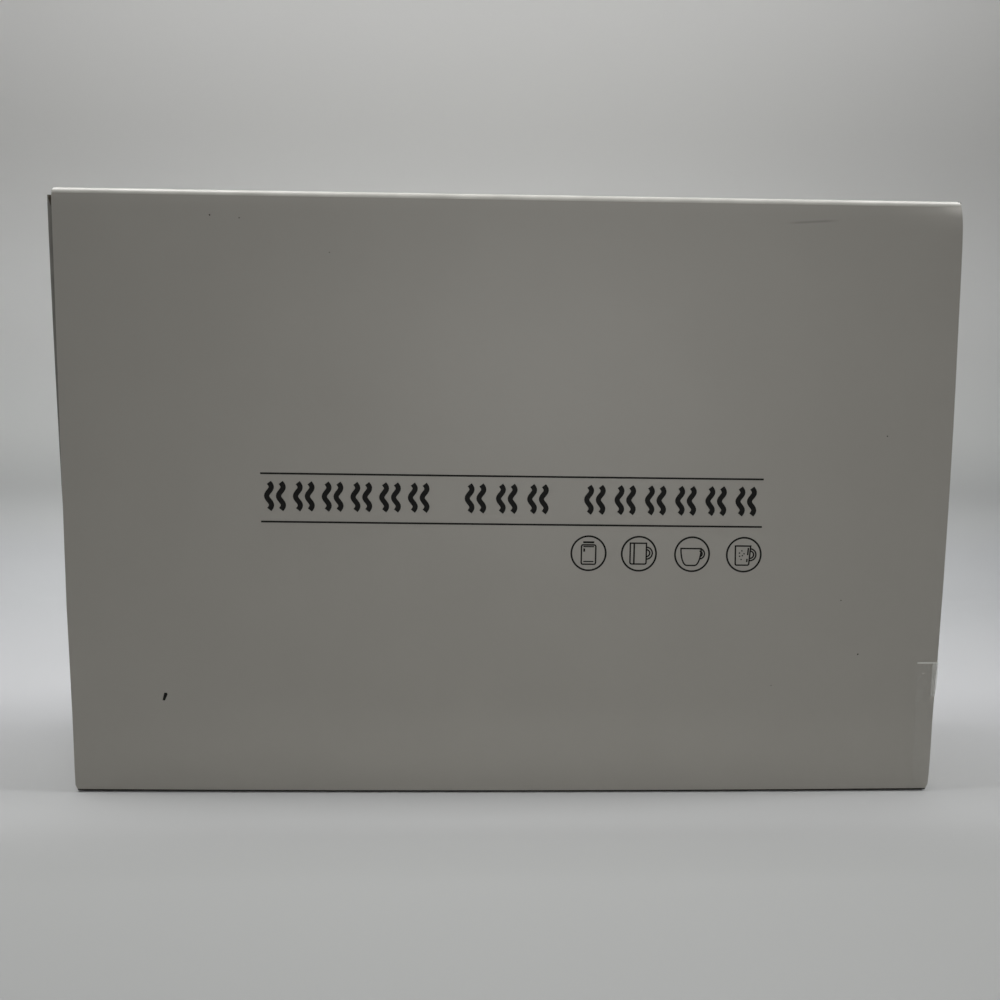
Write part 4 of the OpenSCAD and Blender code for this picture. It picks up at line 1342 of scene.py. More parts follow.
@dataclass
class DustFlap:
    """Flap that folds in from a side wall, behind the lid.

    Attributes:
        stock: The board.
        name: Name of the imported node, and of the new pieces' kind.
        body: Body that the flap is.
        side: -1 for the left wall and 1 for the right wall.
        wall: Distance of the wall's outer face from the middle.
        front: Plane of the flap's outer face.
        hem: Front end of the side wall, behind the crease.
        bulge: How far the fold swells outwards at its upper end.
        bulge_from: Height at which it begins to swell, and how much further up it is fully swollen.
        skin: How far back along the wall a swollen fold's skin reaches.
        head: How far the fold reaches above the flap at the wall.
        length: Distance of the tip from the wall's outer face.
        low: Height of the lower edge at the wall.
        rise: How far the lower edge rises on its way to the tip.
        high: Height of the upper edge at the wall.
        slope: Slope of the upper edge, in degrees.
        round: Radius of the tip's corners.
        cells: Number of its mesh cells along, up to those corners, and up.
        fold_cells: Number of the fold's, round it, along its skin and up.
    """

    stock: BoardStock
    name: str
    body: str
    side: int
    wall: float = 95.0
    front: float = -22.0
    hem: float = -21.05
    bulge: float = 0.0
    bulge_from: Point2 = (25.0, 100.0)
    skin: float = 12.0
    head: float = 0.0
    length: float = 36.0
    low: float = 5.51
    rise: float = 6.0
    high: float = 123.7
    slope: float = 26.0
    round: float = 9.0
    cells: tuple[int, int] = (12, 40)
    fold_cells: tuple[int, int, int] = (10, 6, 50)

    def span(self, s: float) -> Point2:
        """Returns the lower and the upper edge at a distance from the wall's outer face."""
        into = min(max(0.0, s - (self.length - self.round)), self.round)
        back = self.round - math.sqrt(self.round ** 2 - into ** 2)
        return (self.low + self.rise * s / self.length + back,
                self.high - s * math.tan(math.radians(self.slope)) - back)

    def place(self, s: float, z: float, depth: float) -> Vector:
        """Returns the place at a distance from the wall's outer face, at a depth behind the flap's face."""
        return Vector((self.side * (self.wall - s), self.front + depth, z))

    def panel(self) -> None:
        """Makes the flap beyond its fold."""
        along, up = self.cells
        stops = [*spread(self.stock.fold, self.length - self.round, along)[:-1],
                 *(self.length - self.round * (1 - math.sin(math.radians(a))) for a in range(0, 91, 10))]
        rows = [[(s, z) for z in spread(*self.span(s), up, RIM)] for s in stops]
        draft = self.stock.sheet(rows, self.place, (True, True))
        settle(draft.piece(f"{self.name}_board", self.stock.finishes()), self.body, "carton_board",
               self.name)

    def fold(self) -> None:
        """Makes the rounded fold between the side wall and the flap."""
        radius = self.stock.fold
        middle = Vector((self.side * (self.wall - radius), self.front + radius, 0.0))
        end = math.degrees(math.acos((self.front + radius - self.hem) / radius))

        def place(angle: float, z: float, depth: float) -> Vector:
            """Returns the place at an angle from the flap's end of the fold.

            An angle beyond the fold's end stands for that many millimetres further along the wall.
            """
            turn = math.radians(min(angle, end))
            along = max(angle - end, 0.0)
            reach = radius + self.stock.lift - depth
            up = held((z - self.bulge_from[0]) / self.bulge_from[1])
            swollen = self.bulge * math.sin(math.pi / 2 * up) * math.sin(math.pi / 2 * min(angle / end, 1.0))
            x = reach * (math.sin(turn) if not along else 1.0) + swollen * (1 - eased(along / self.skin))
            return middle + Vector((self.side * x, along - reach * math.cos(turn), z))

        around, back, upwards = self.fold_cells
        skin = [end + self.skin * i / back for i in range(1, back + 1) if self.bulge]
        rows = []
        for angle in [*spread(0.0, end, around), *skin]:
            low, high = self.span(radius * (1 - min(angle, end) / 90))
            rise = self.head * eased(angle / end)
            rows.append([(angle, z) for z in spread(low, high + rise, upwards, RIM)])
        draft = self.stock.sheet(rows, place)
        finishes = self.stock.finishes()
        if self.bulge:
            # The swollen fold's outside takes the darker coat, painted shade beside the lid's edge
            draft.recolour(0, sum(row[0][0] < end for row in rows), len(rows[0]))
            finishes.append(LEFT_FLAP_PAINTED_SHADE)
        fold = draft.piece(f"{self.name}_fold", finishes)
        place(end, 20, 0) * MM
        place(0, 20, 0) * MM
        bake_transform(fold)
        log.info("%s_fold bends between carton and %s", self.name, self.body)


@dataclass
class Seal:
    """Clear tape over the lid's lower right edge, laid round it onto the side wall.

    Attributes:
        lid: The lid that it lies on.
        low: Height of its lower end.
        high: Height of its upper end.
        left: Where it begins on the lid.
        back: Where it ends on the side wall.
        wall: Distance of the side wall's outer face from the middle.
        thick: Thickness of the film.
        gap: Air between the film and the board.
        outside: How far outside the lid's edge it bends.
        bend: Radius of that bend.
        onwards: Distance from the bend's end to its next point.
        slack: Further air between the film and the side wall.
        landing: Distance behind the lid at which it has come to lie on the wall.
        cut: Height of the frayed cut edge.
        loose: Height of the stretch below the upper end where the film stands off the corner.
        lift: How far it stands off there, and the height over which that builds up.
        cells: Number of its mesh cells on the lid, on the wall, up and up the loose stretch.
    """

    lid: Lid
    low: float = 2.2
    high: float = 29.3
    left: float = 90.5
    back: float = -9.0
    wall: float = 95.0
    thick: float = 0.06
    gap: float = 0.03
    outside: float = 0.04
    bend: float = 0.5
    onwards: float = 0.4
    slack: float = 0.02
    landing: float = 3.0
    cut: float = 0.3
    loose: float = 7.8
    lift: Point2 = (0.22, 2.0)
    cells: tuple[int, int, int, int] = (6, 10, 16, 8)

    def course(self, z: float) -> list[Point2]:
        """Returns the film's course round the corner at a height, as points of X and Y."""
        edge = self.lid.right_edge(z) + self.outside
        lift = self.lift[0] * eased((z - (self.high - self.loose)) / self.lift[1]) + self.gap
        face = [(x, self.lid.place(x, z, -self.gap).y)
                for x in spread(self.left, edge - self.bend, self.cells[0])]
        turn = [(edge - self.bend + (self.bend + lift) * math.sin(math.radians(a)),
                 face[-1][1] + self.bend - self.bend * math.cos(math.radians(a))) for a in (20, 40, 60, 80)]
        resting = max(self.wall, edge) + self.gap + self.slack
        side = [(blend(turn[-1][0], resting, eased((y - self.lid.front) / self.landing)), y)
                for y in spread(turn[-1][1] + self.onwards, self.back, self.cells[1])]
        return face + turn + side

    def place(self, z: float, step: float, depth: float) -> Vector:
        """Returns the place at a height and a step along the course, at a depth under the film's face."""
        return Vector((*beside(self.course(z), step, self.thick - depth), z))

    def make(self) -> None:
        """Makes the tape, with its frayed upper edge and the loose stretch at the corner."""
        count = len(self.course(self.low))
        fray = self.high - self.cut
        draft = Draft()
        for bottom, top, cells, kinds in ((self.low, fray, self.cells[2], (0, 0, 0)),
                                          (fray, self.high, 1, (1, 1, 1))):
            draft.slab([[(z, float(i)) for i in range(count)] for z in spread(bottom, top, cells)],
                       self.place, self.thick, soft=(False, False), sides=kinds)
        # The loose stretch goes from just before the bend to most of the way round it
        loose = [[(z, float(i)) for i in range(5, 10)]
                 for z in spread(self.high - self.loose, fray, self.cells[3])]
        draft.slab(loose, lambda z, i, d: self.place(z, i, d - self.thick), self.thick / 2,
                   soft=(False, False), sides=(2, 2, 2))
        settle(draft.piece("seal_tape_film", [FILM, FILM_EDGE, FILM_LOOSE]), "lid", "clear_tape",
               "seal_tape")


@dataclass
class Print:
    """Ink on the lid: two rules, pairs of plain steam waves between them, four ringed vessels, a speck.

    Attributes:
        lid: The lid that it is printed on.
        slant: How much the print climbs for each millimetre to the right.
        left: Left end of the rules.
        right: Right end of the rules.
        rules: Heights of the two rules at the middle.
        rule: Thickness of a rule.
        wave: Thickness of a steam wave.
        wave_h: Height of a wave.
        wave_z: Height of the waves' middle.
        sway: How far a wave sways to each side.
        sways: How many times it sways to and fro.
        steps: Number of a wave's steps.
        apart: Distance between the two waves of a pair.
        groups: Left end, right end and number of pairs of each group.
        ring_z: Height of the rings' middles.
        rings: Places of the rings' middles.
        ring_r: Radius of a ring.
        stroke: Thickness of a ring.
        hair: Thickness of a vessel's outline.
        speck: Corners of the slanted speck.
        dust: Place and radius of each speck of dust.
    """

    lid: Lid
    slant: float = -0.005
    left: float = -53.0
    right: float = 54.4
    rules: Point2 = (69.9, 59.6)
    rule: float = 0.38
    wave: float = 1.1
    wave_h: float = 5.8
    wave_z: float = 65.1
    sway: float = 0.5
    sways: float = 1.5
    steps: int = 24
    apart: float = 2.5
    groups: tuple[tuple[float, float, int], ...] = ((-53.0, -16.5, 6), (-10.8, 9.2, 3), (14.8, 54.0, 6))
    ring_z: float = 53.5
    rings: tuple[float, ...] = (16.95, 27.85, 39.4, 50.7)
    ring_r: float = 3.72
    stroke: float = 0.38
    hair: float = 0.31
    speck: tuple[Point2, ...] = ((-75.0, 20.6), (-74.5, 20.55), (-73.9, 21.9), (-74.05, 22.3), (-74.6, 22.25))
    dust: tuple[Point3, ...] = (
        (-62.4, 123.2, 0.16), (-56.4, 122.7, 0.12), (77.0, 31.1, 0.17), (80.9, 79.1, 0.14),
        (72.6, 43.2, 0.12), (-38.0, 116.0, 0.1), (58.0, 24.0, 0.1),
    )

    def place(self, x: float, z: float, depth: float) -> Vector:
        """Returns the place of a point of the print, with the print's slant."""
        return self.lid.place(x, z + self.slant * x, depth)

    def ink(self, name: str, draft: Draft) -> None:
        """Makes a piece of ink that rides on the lid."""
        settle(draft.piece(name, [INK]), "lid", "carton_board")

    def lines(self) -> None:
        """Makes the two rules."""
        draft = Draft()
        for z in self.rules:
            draft.ribbon(straight((self.left, z), (self.right, z)), self.rule, self.place)
        self.ink("print_rules", draft)

    def waves(self) -> None:
        """Makes the steam waves between the rules."""
        draft = Draft()
        for left, right, count in self.groups:
            pitch = (right - left) / count
            for i in range(2 * count):
                middle = left + pitch * (i // 2 + 0.5) + self.apart * (i % 2 - 0.5)
                line = [(middle + self.sway * math.sin(math.tau * self.sways * t / self.steps),
                         self.wave_z + self.wave_h * (t / self.steps - 0.5)) for t in range(self.steps + 1)]
                draft.ribbon(line, self.wave, self.place)
        self.ink("print_steam_band", draft)

    def vessels(self) -> None:
        """Makes the four rings with a vessel in each."""
        for x, vessel in zip(self.rings, Vessel):
            draft = Draft()
            draft.ribbon(ring((x, self.ring_z), self.ring_r), self.stroke, self.place, closed=True)
            for line, width, closed in vessel_lines(vessel, self.hair):
                draft.ribbon([(x + u, self.ring_z + v) for u, v in line], width, self.place, closed)
            self.ink(f"print_{vessel.value}", draft)

    def specks(self) -> None:
        """Makes the slanted ink speck and a few specks of dust."""
        draft = Draft()
        draft.patch(self.speck, self.lid.place)
        for x, z, size in self.dust:
            draft.patch(ring((x, z), size, 8), self.lid.place)
        self.ink("ink_specks", draft)

    def make(self) -> None:
        """Makes the whole print."""
        self.lines()
        self.waves()
        self.vessels()
        self.specks()


class Vessel(Enum):
    """The vessels that a mug warmer keeps warm, drawn as plain outlines."""

    CAN = "drinks_can"
    MUG = "straight_mug"
    TEACUP = "teacup"
    GLASS = "glass_mug"


def vessel_lines(vessel: Vessel, hair: float) -> list[Stroke]:
    """Returns the strokes of a vessel's outline.

    Args:
        vessel: The vessel.
        hair: Thickness of an ordinary stroke.

    Returns:
        Each stroke's line around the ring's middle, its width, and whether it is closed.
    """
    def bar(start: Point2, end: Point2, share: float = 1.0) -> Stroke:
        """Returns a straight stroke, as thick as a share of an ordinary one."""
        return path(start, end), hair * share, False

    def handle(x: float, z: float, *radii: float) -> list[Stroke]:
        """Returns a handle's outer and inner line."""
        return [(arc((x, z), radius, 90.0, -90.0, 16), hair, False) for radius in radii]

    if vessel is Vessel.CAN:
        side, low, high = 1.55, -2.1, 1.85
        body = (arc((side - 0.45, low + 0.1), 0.45, -60.0, 0.0, 5)
                + arc((side - 0.4, high - 0.4), 0.4, 0.0, 70.0, 5)
                + arc((0.4 - side, high - 0.4), 0.4, 110.0, 180.0, 5)
                + arc((0.45 - side, low + 0.1), 0.45, 180.0, 240.0, 5))
        return [(body, hair, True), bar((-1.2, 2.4), (1.2, 2.4), 1.3), bar((-1.1, -1.8), (1.1, -1.8), 0.8),
                bar((-1.15, 1.45), (1.15, 1.45), 0.8), bar((-0.95, 1.05), (-0.95, 0.35), 1.2)]
    if vessel is Vessel.MUG:
        left, right, low, high, soft = -1.9, 1.6, -2.25, 2.3, 0.35
        body = (arc((right - soft, low + soft), soft, -90.0, 0.0, 5) + path((right, high), (left, high))
                + arc((left + soft, low + soft), soft, 180.0, 270.0, 5))
        return [(body, hair, True), bar((-1.05, low), (-1.05, high), 1.1), *handle(right, 0.15, 1.3, 0.75)]
    if vessel is Vessel.TEACUP:
        left, right, rim, foot = -2.45, 1.95, 1.25, -2.45
        bowl = [(left + 1.35 * (1 - math.cos(a)), blend(rim, foot, math.sin(a)))
                for a in (math.radians(i * 9) for i in range(11))]
        other = [(left + right - x, z) for x, z in reversed(bowl)]
        return [(bowl + other, hair, True), bar((left, rim), (right, rim)),
                *handle(right - 0.35, 0.1, 1.1, 0.6)]
    body = (path((-1.9, 1.9), (-1.8, -2.1)) + path((-1.6, -2.3), (0.95, -2.3))
            + path((1.15, -2.1), (1.45, 1.9)))
    berries = [(ring((x, z), 0.1, 6), 0.12, True) for x, z in
               ((-0.95, 0.35), (-0.45, 0.85), (-0.9, -0.35), (-0.3, -0.2), (-0.55, -1.05), (0.05, 0.2))]
    return [(body, hair, True), *berries, bar((0.95, 1.5), (0.85, -0.1)), bar((0.75, -0.9), (0.7, -1.6)),
            *handle(1.35, 0.0, 1.3, 0.8)]


@dataclass
class Carton:
    """The carton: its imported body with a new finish, and the lid, flaps, folds, seal and print.

    Attributes:
        stock: The board.
    """

    stock: BoardStock = field(default_factory=BoardStock)

    def dress_body(self) -> None:
        """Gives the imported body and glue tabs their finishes."""
        _, high = box_mm("carton_body")
        half = self.stock.thick / 2
        folded = FoldedBoard("folded_carton_board", COAT.colour, COAT.roughness, tone=COAT.tone,
                             reach=(high.x - half, high.y - half, high.z / 2 - half),
                             middle=(0.0, 0.0, high.z / 2))
        paint("carton_body", folded)
        paint("glue_tabs", LINER)

    def make(self) -> None:
        """Makes and dresses every piece of the carton."""
        self.dress_body()
        lid = Lid(self.stock)
        tuck = TuckFlap(self.stock)
        lid.panel()
        lid.upper_fold()
        lid.lower_fold(tuck)
        tuck.make()
        for flap in (DustFlap(self.stock, "dust_flap_left", "dust_left", -1, bulge=1.15, head=3.6),
                     DustFlap(self.stock, "dust_flap_right", "dust_right", 1)):
            flap.panel()
            flap.fold()
        Seal(lid).make()
        Print(lid).make()


# ---- packing ----

@dataclass
class Packing:
    """Foam insert and leaflet.

    Attributes:
        grain: Size of a face of the foam's mesh.
        waver: Unevenness of the foam's sawn and punched faces.
        lumps: Size of its larger and of its smaller parts. The smaller ones are half as high.
        round: How strongly the corners are smoothed, and how many times.
        sheet: Thickness of a leaf of paper.
        leaves: Number of leaves of the folded leaflet.
        spring: How far the free leaf springs up.
        steps: Number of a leaf's steps.
        inset: How far the first leaf's ends lie inside the leaflet's.
        creep: How much further inside the ends of each following leaf lie.
    """

    grain: float = 1.3
    waver: float = 0.12
    lumps: Point2 = (9.0, 3.0)
    round: tuple[float, int] = (0.5, 2)
    sheet: float = 0.14
    leaves: int = 4
    spring: float = 1.1
    steps: int = 16
    inset: float = 0.5
    creep: float = 0.3

    def soft_block(self, node: str, name: str, grain: float) -> None:
        """Makes a foam block with soft corners in the place of a packed one.

        Args:
            node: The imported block.
            name: Name of the new one.
            grain: Size of a face of its mesh.
        """
        block = bpy.data.objects.new(name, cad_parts[node].data.copy())
        bpy.context.scene.collection.objects.link(block)
        remesh = block.modifiers.new("remesh", "REMESH")
        remesh.mode = "VOXEL"
        remesh.voxel_size = grain * MM
        smooth = block.modifiers.new("smooth", "SMOOTH")
        smooth.factor, smooth.iterations = self.round
        made = bpy.data.meshes.new_from_object(block.evaluated_get(bpy.context.evaluated_depsgraph_get()))
        block.modifiers.clear()
        block.data = made
        made.materials.clear()
        made.materials.append(FOAM.material())
        large, small = (size * MM for size in self.lumps)
        # Every normal is read first, because moving one point makes Blender work them all out again
        normals = [vertex.normal.copy() for vertex in made.vertices]
        for vertex, normal in zip(made.vertices, normals):
            uneven = noise.noise(vertex.co / large) + 0.5 * noise.noise(vertex.co / small)
            vertex.co -= normal * (self.waver * MM * (0.5 + 0.5 * uneven))
        soften(block, 60.0)
        settle(block, "carton", "foam", node)

    def course(self, low: Vector, high: Vector) -> list[Point2]:
        """Returns the folded sheet's course to and fro, as points of X and Y.

        Args:
            low: The leaflet's lowest corner.
            high: Its highest corner.

        Returns:
            The points, from the back leaf's right end to the free end.
        """
        pitch = (high.y - low.y) / (self.leaves + 0.5)
        course: list[Point2] = []
        for leaf in range(self.leaves):
            y = high.y - self.sheet - pitch * leaf
            inset = self.inset + self.creep * leaf
            ends = (low.x + inset, high.x - inset)
            start, end = ends if leaf % 2 else ends[::-1]
            free = leaf == self.leaves - 1
            shares = [i / self.steps for i in range(self.steps + 1)]
            course += [(blend(start, end, t), y - (self.spring * t ** 3 if free else 0.0)) for t in shares]
            if not free:
                turn = 1 if leaf % 2 else -1
                course += [(end + turn * pitch / 2 * math.sin(math.radians(a)),
                            y - pitch / 2 * (1 - math.cos(math.radians(a)))) for a in (30, 60, 90, 120, 150)]
        return course

    def leaflet(self) -> None:
        """Makes the leaflet as one sheet folded to and fro, its free leaf springing up a little."""
        low, high = box_mm("leaflet")
        course = self.course(low, high)

        def place(step: float, z: float, depth: float) -> Vector:
            """Returns the place at a step along the folded sheet, at a depth under its face."""
            return Vector((*beside(course, step, self.sheet / 2 - depth), z))

        rows = [[(float(i), z) for z in spread(low.z, high.z, 12)] for i in range(len(course))]
        draft = Draft().slab(rows, place, self.sheet, soft=(False, False), sides=(0, 0, 0))
        settle(draft.piece("leaflet_folded", [PAPER]), "carton", "leaflet_paper", "leaflet")
        (start, base), (end, _) = course[-1 - self.steps], course[-1]

        def face(x: float) -> float:
            """Returns how far forward the free leaf's face lies at x."""
            return base - self.sheet / 2 - self.spring * ((x - start) / (end - start)) ** 3

        Drawing().make(low, high, face)

    def make(self) -> None:
        """Makes the insert's two blocks and the leaflet."""
        self.soft_block("foam_cradle", "foam_cradle_cut", self.grain)
        self.soft_block("foam_base", "foam_base_sheet", self.grain * 2)
        self.leaflet()


@dataclass
class Drawing:
    """Print on the leaflet's free leaf: the warmer's face as a plain drawing, and bars in place of lines.

    Attributes:
        up: Height of the drawing's middle, as a share of the leaf's.
        half: Half the drawing's width, as a share of the leaf's.
        soft: Radius of its corners, as a share of half its width.
        plate: How far right of the middle the heating plate lies, and its radius, likewise.
        buttons: How far left of and above or below the middle the buttons lie, and their radius, likewise.
        pens: Widths of its lines, of the buttons' lines and of the bars.
        rows: Number of bars.
        short: Numbers of the bars that end early.
        first: Height of the first bar, and how much lower each next one lies, as shares of the leaf's.
        ends: Left end, right end and early end of the bars, as shares of the leaf's width.
    """

    up: float = 0.7
    half: float = 0.27
    soft: float = 0.35
    plate: Point2 = (0.12, 0.7)
    buttons: Point3 = (0.8, 0.35, 0.1)
    pens: Point3 = (0.35, 0.25, 0.45)
    rows: int = 7
    short: tuple[int, ...] = (2, 6)
    first: Point2 = (0.38, 0.045)
    ends: Point3 = (0.16, 0.84, 0.5)

    def make(self, low: Vector, high: Vector, face: Callable[[float], float]) -> None:
        """Prints it.

        Args:
            low: The leaflet's lowest corner.
            high: Its highest corner.
            face: Returns how far forward the leaf's face lies at x.
        """
        width, height = high.x - low.x, high.z - low.z
        x, z, half = (low.x + high.x) / 2, low.z + self.up * height, self.half * width

        def place(u: float, v: float, depth: float) -> Vector:
            """Returns the place of a point of the print."""
            return Vector((u, face(u) + depth, v))

        line, fine, bar = self.pens
        soft = self.soft * half
        corners = ((1, 1, 0.0), (-1, 1, 90.0), (-1, -1, 180.0), (1, -1, 270.0))
        outline = [point for u, v, turn in corners for point in
                   arc((x + u * (half - soft), z + v * (half - soft)), soft, turn, turn + 90, 6)]
        draft = Draft()
        draft.ribbon(outline, line, place, closed=True)
        aside, radius = self.plate
        draft.ribbon(ring((x + aside * half, z), radius * half, 40), line, place, closed=True)
        aside, above, radius = self.buttons
        for up in (-above, above):
            draft.ribbon(ring((x - aside * half, z + up * half), radius * half, 12), fine, place, closed=True)
        (top, step), (left, right, early) = self.first, self.ends
        for row in range(self.rows):
            v = low.z + (top - step * row) * height
            end = early if row in self.short else right
            draft.ribbon(straight((low.x + left * width, v), (low.x + end * width, v)), bar, place)
        settle(draft.piece("leaflet_drawing", [DARK_MARK]), "carton", "leaflet_paper")


# ---- warmer ----

@dataclass
class Warmer:
    """The mug warmer in its pocket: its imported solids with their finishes, and the marks on its face.

    Its face looks forwards out of the carton, its front side is the left one, and what is up for
    someone who uses it is towards +X.

    Attributes:
        proud: How far a mark stands proud of its surface.
        ring_r: Radius of the ring printed on the glass.
        inner: Distance of a finer ring inside it.
        steam_h: Height of the steam waves inside the rings.
        stroke: Thickness of a mark's line.
        bar: Thickness of a bar of the level sign.
    """

    proud: float = 0.02
    ring_r: float = 34.0
    inner: float = 1.2
    steam_h: float = 9.0
    stroke: float = 0.4
    bar: float = 0.7

    FINISHES = {
        "base_housing": HOUSING, "top_cover": COVER, "heating_plate": GLASS, "plate_gasket": GASKET,
        "heater_disc": MICA, "insulation_felt": FELT, "heat_shield": SHIELD, "shield_screws": ZINC,
        "temperature_sensor": BEAD, "thermal_fuse": TINNED, "control_board": LAMINATE, "board_screws": ZINC,
        "controller_chip": CHIP, "power_transistors": CHIP, "filter_capacitor": SLEEVE,
        "lead_terminal": TERMINAL, "heater_leads": SHEATH_RED, "supply_leads": SHEATH_DARK,
        "inlet_board": LAMINATE, "inlet_socket": SHELL, "power_switch": CHIP, "level_switch": CHIP,
        "power_plunger": PLUNGER, "level_plunger": PLUNGER, "power_button": BUTTON, "level_button": BUTTON,
        "indicator_lenses": LENS, "indicator_leds": LAMP_RESIN, "housing_screws": ZINC, "rubber_feet": FOOT,
    }

    def mark(self, name: str, node: str, body: str, slot: str, finish: Finish,
             lines: Sequence[Stroke]) -> None:
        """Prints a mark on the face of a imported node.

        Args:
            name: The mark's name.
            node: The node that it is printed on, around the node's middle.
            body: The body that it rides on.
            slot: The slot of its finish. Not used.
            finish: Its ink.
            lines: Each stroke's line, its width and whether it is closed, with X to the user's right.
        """
        low, high = box_mm(node)
        middle = (low + high) / 2

        def place(u: float, v: float, depth: float) -> Vector:
            """Returns the place of a point of the mark."""
            return Vector((middle.x + v, low.y + depth * self.proud / INKED, middle.z - u))

        draft = Draft()
        for line, width, closed in lines:
            draft.ribbon(line, width, place, closed)
        settle(draft.piece(name, [finish]), body, slot)

    def steam(self, height: float) -> list[Stroke]:
        """Returns three rising waves around the middle."""
        return [([(offset + 0.12 * height * math.sin(math.tau * t / 16), height * (t / 16 - 0.5))
                  for t in range(17)], self.stroke, False)
                for offset in (-0.4 * height, 0.0, 0.4 * height)]

    def marks(self) -> None:
        """Prints the ring and the steam on the glass, and a sign on each button."""
        self.mark("plate_ring", "heating_plate", "carton", "plate_glass", MARK,
                  [(ring((0.0, 0.0), self.ring_r, 128), self.stroke, True),
                   (ring((0.0, 0.0), self.ring_r - self.inner, 128), self.stroke / 2, True),
                   *self.steam(self.steam_h)])
        on_off = [(arc((0.0, 0.0), 1.6, 125.0, 415.0, 24), self.stroke, False),
                  (path((0.0, 0.5), (0.0, 2.1)), self.stroke, False)]
        self.mark("power_sign", "power_button", "power", "button_plastic", DARK_MARK, on_off)
        bars = [(path((x, -1.4), (x, top)), self.bar, False)
                for x, top in ((-1.4, -0.4), (0.0, 0.5), (1.4, 1.4))]
        self.mark("level_sign", "level_button", "level", "button_plastic", DARK_MARK, bars)

    def make(self) -> None:
        """Dresses every node of the warmer and prints its marks."""
        for node, finish in self.FINISHES.items():
            paint(node, finish)
        self.marks()


# ---- studio ----

@dataclass(frozen=True)
class Lamp:
    """A rectangular soft white light.

    Attributes:
        name: The lamp's name.
        place: Where it hangs.
        aim: What it is turned to.
        size: Its width and height.
        power: Its power in watts.
        spread: Angle of its beam in degrees.
    """

    name: str
    place: Point3
    aim: Point3
    size: Point2
    power: float
    spread: float = 180.0

    def hang(self) -> None:
        """Adds the lamp to the scene."""
        light = bpy.data.lights.new(self.name, "AREA")
        light.shape = "RECTANGLE"
        light.size, light.size_y = self.size[0] * MM, self.size[1] * MM
        light.energy = self.power
        light.spread = math.radians(self.spread)
        lamp = bpy.data.objects.new(self.name, light)
        lamp.location = Vector(self.place) * MM
        lamp.rotation_euler = (Vector(self.aim) - Vector(self.place)).to_track_quat("-Z", "Y").to_euler()
        bpy.context.scene.collection.objects.link(lamp)


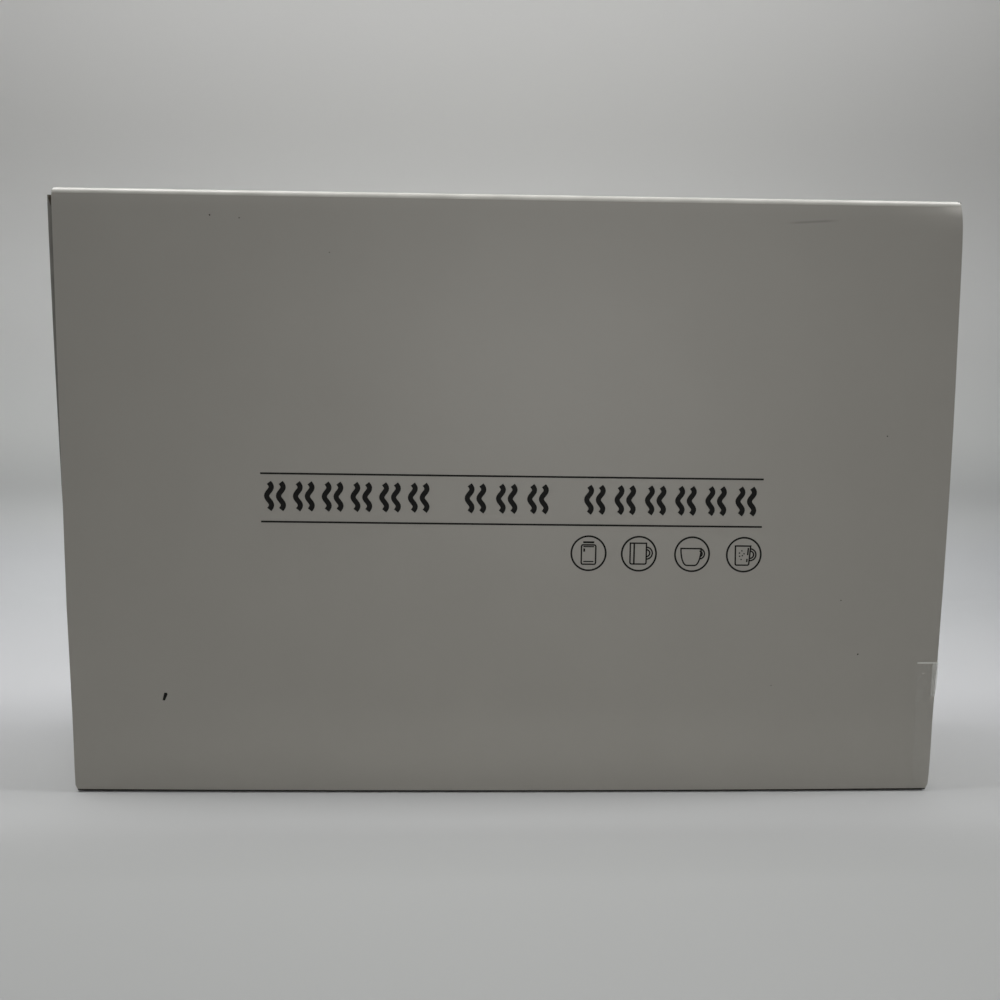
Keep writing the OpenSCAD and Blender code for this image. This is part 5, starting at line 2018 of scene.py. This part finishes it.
@dataclass
class Studio:
    """Pale floor and wall, soft lights and the camera.

    Attributes:
        lamps: The lights.
        depth: Distance of the wall behind the carton.
        bend: Radius of the bend between the floor and the wall.
        reach: How far the floor and the wall reach.
        below: How far the floor behind the wall lies below the floor in front of it.
        room: Strength of the dim even light that comes from all around.
        eye: Place of the camera.
        turn: How far it is turned to the right, looks down and is tilted, in degrees.
        sensor: Width of its sensor.
        lens: Focal length as a share of the sensor's width.
        clip: Nearest and furthest distance that it shows, in metres.
    """

    lamps: tuple[Lamp, ...] = (
        Lamp("over_back", (-30.0, 15.0, 560.0), (-30.0, 0.0, 60.0), (400.0, 100.0), 0.08),
        Lamp("over_front", (10.0, -150.0, 330.0), (0.0, -23.0, 70.0), (320.0, 60.0), 0.03),
        Lamp("side_left", (-230.0, -20.0, 500.0), (-40.0, -10.0, 0.0), (80.0, 220.0), 0.15, 70.0),
        Lamp("side_right", (330.0, -20.0, 480.0), (-40.0, -10.0, 0.0), (80.0, 220.0), 0.2, 70.0),
        Lamp("wall_wash", (-20.0, 60.0, 480.0), (-20.0, 215.0, 150.0), (620.0, 60.0), 0.68, 120.0),
        Lamp("front_fill", (24.0, -222.0, 107.0), (14.0, -23.0, 82.0), (90.0, 60.0), 0.084),
    )
    depth: float = 215.0
    bend: float = 45.0
    reach: float = 1600.0
    below: float = 0.05
    room: float = 0.167
    eye: Point3 = (-7.7, -214.6, 85.5)
    turn: Point3 = (1.64, 6.18, 0.56)
    sensor: float = 36.0
    lens: float = 0.9
    clip: Point2 = (0.01, 20.0)

    def camera(self) -> None:
        """Sets up the camera."""
        yaw, pitch, roll = (math.radians(a) for a in self.turn)
        ahead = Vector((math.sin(yaw) * math.cos(pitch), math.cos(yaw) * math.cos(pitch), -math.sin(pitch)))
        level = Vector((math.cos(yaw), -math.sin(yaw), 0.0))
        above = level.cross(ahead)
        right = level * math.cos(roll) + above * math.sin(roll)
        up = above * math.cos(roll) - level * math.sin(roll)
        data = bpy.data.cameras.new("camera")
        data.sensor_fit = "HORIZONTAL"
        data.sensor_width = self.sensor
        data.lens = self.sensor * self.lens
        data.clip_start, data.clip_end = self.clip
        camera = bpy.data.objects.new("camera", data)
        camera.matrix_world = Matrix.Translation(Vector(self.eye) * MM) @ Matrix(
            (right, up, -ahead)).transposed().to_4x4()
        bpy.context.scene.collection.objects.link(camera)
        bpy.context.scene.camera = camera

    def ground(self) -> None:
        """Makes the floor, which sweeps up into the wall behind and also goes on under it."""
        foot = self.depth - self.bend
        profile = [(-self.reach, 0.0), *arc((foot, self.bend), self.bend, -90.0, 0.0, 15),
                   (self.depth, self.reach)]
        under = [(foot, -self.below), (self.reach, -self.below)]
        for name, line in (("floor", profile), ("floor_behind", under)):
            draft = Draft()
            draft.grid([[Vector((x, y, z)) for x in (-self.reach, self.reach)] for y, z in line])
            floor = draft.piece(name, [SWEEP], crease=180.0)
            if floor.data.polygons[0].normal.z < 0:
                floor.data.flip_normals()

    def world(self) -> None:
        """Sets the dim even light that comes from all around, and the even tone that is seen there."""
        world = bpy.data.worlds.new("room")
        world.use_nodes = True
        tree = world.node_tree
        tree.nodes.clear()
        light = add_node(tree, "Background", {0: linear("#ffffff"), 1: self.room})
        tone = add_node(tree, "Background", {0: linear(SWEEP.even), 1: 1.0})
        both = add_node(tree, "MixShader", {
            0: SWEEP.looked_at(tree), 1: light.outputs[0], 2: tone.outputs[0]})
        add_node(tree, "OutputWorld", {0: both.outputs[0]})
        bpy.context.scene.world = world

    def make(self) -> None:
        """Builds the whole studio."""
        self.camera()
        self.ground()
        self.world()
        for lamp in self.lamps:
            lamp.hang()
        bpy.context.scene.view_settings.view_transform = "Standard"


def main() -> None:
    """Builds the studio and the part, in order."""
    logging.basicConfig(level=logging.INFO, format="%(name)s: %(message)s")
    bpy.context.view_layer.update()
    Studio().make()
    Carton().make()
    Packing().make()
    Warmer().make()


if __name__ == "__main__":
    main()
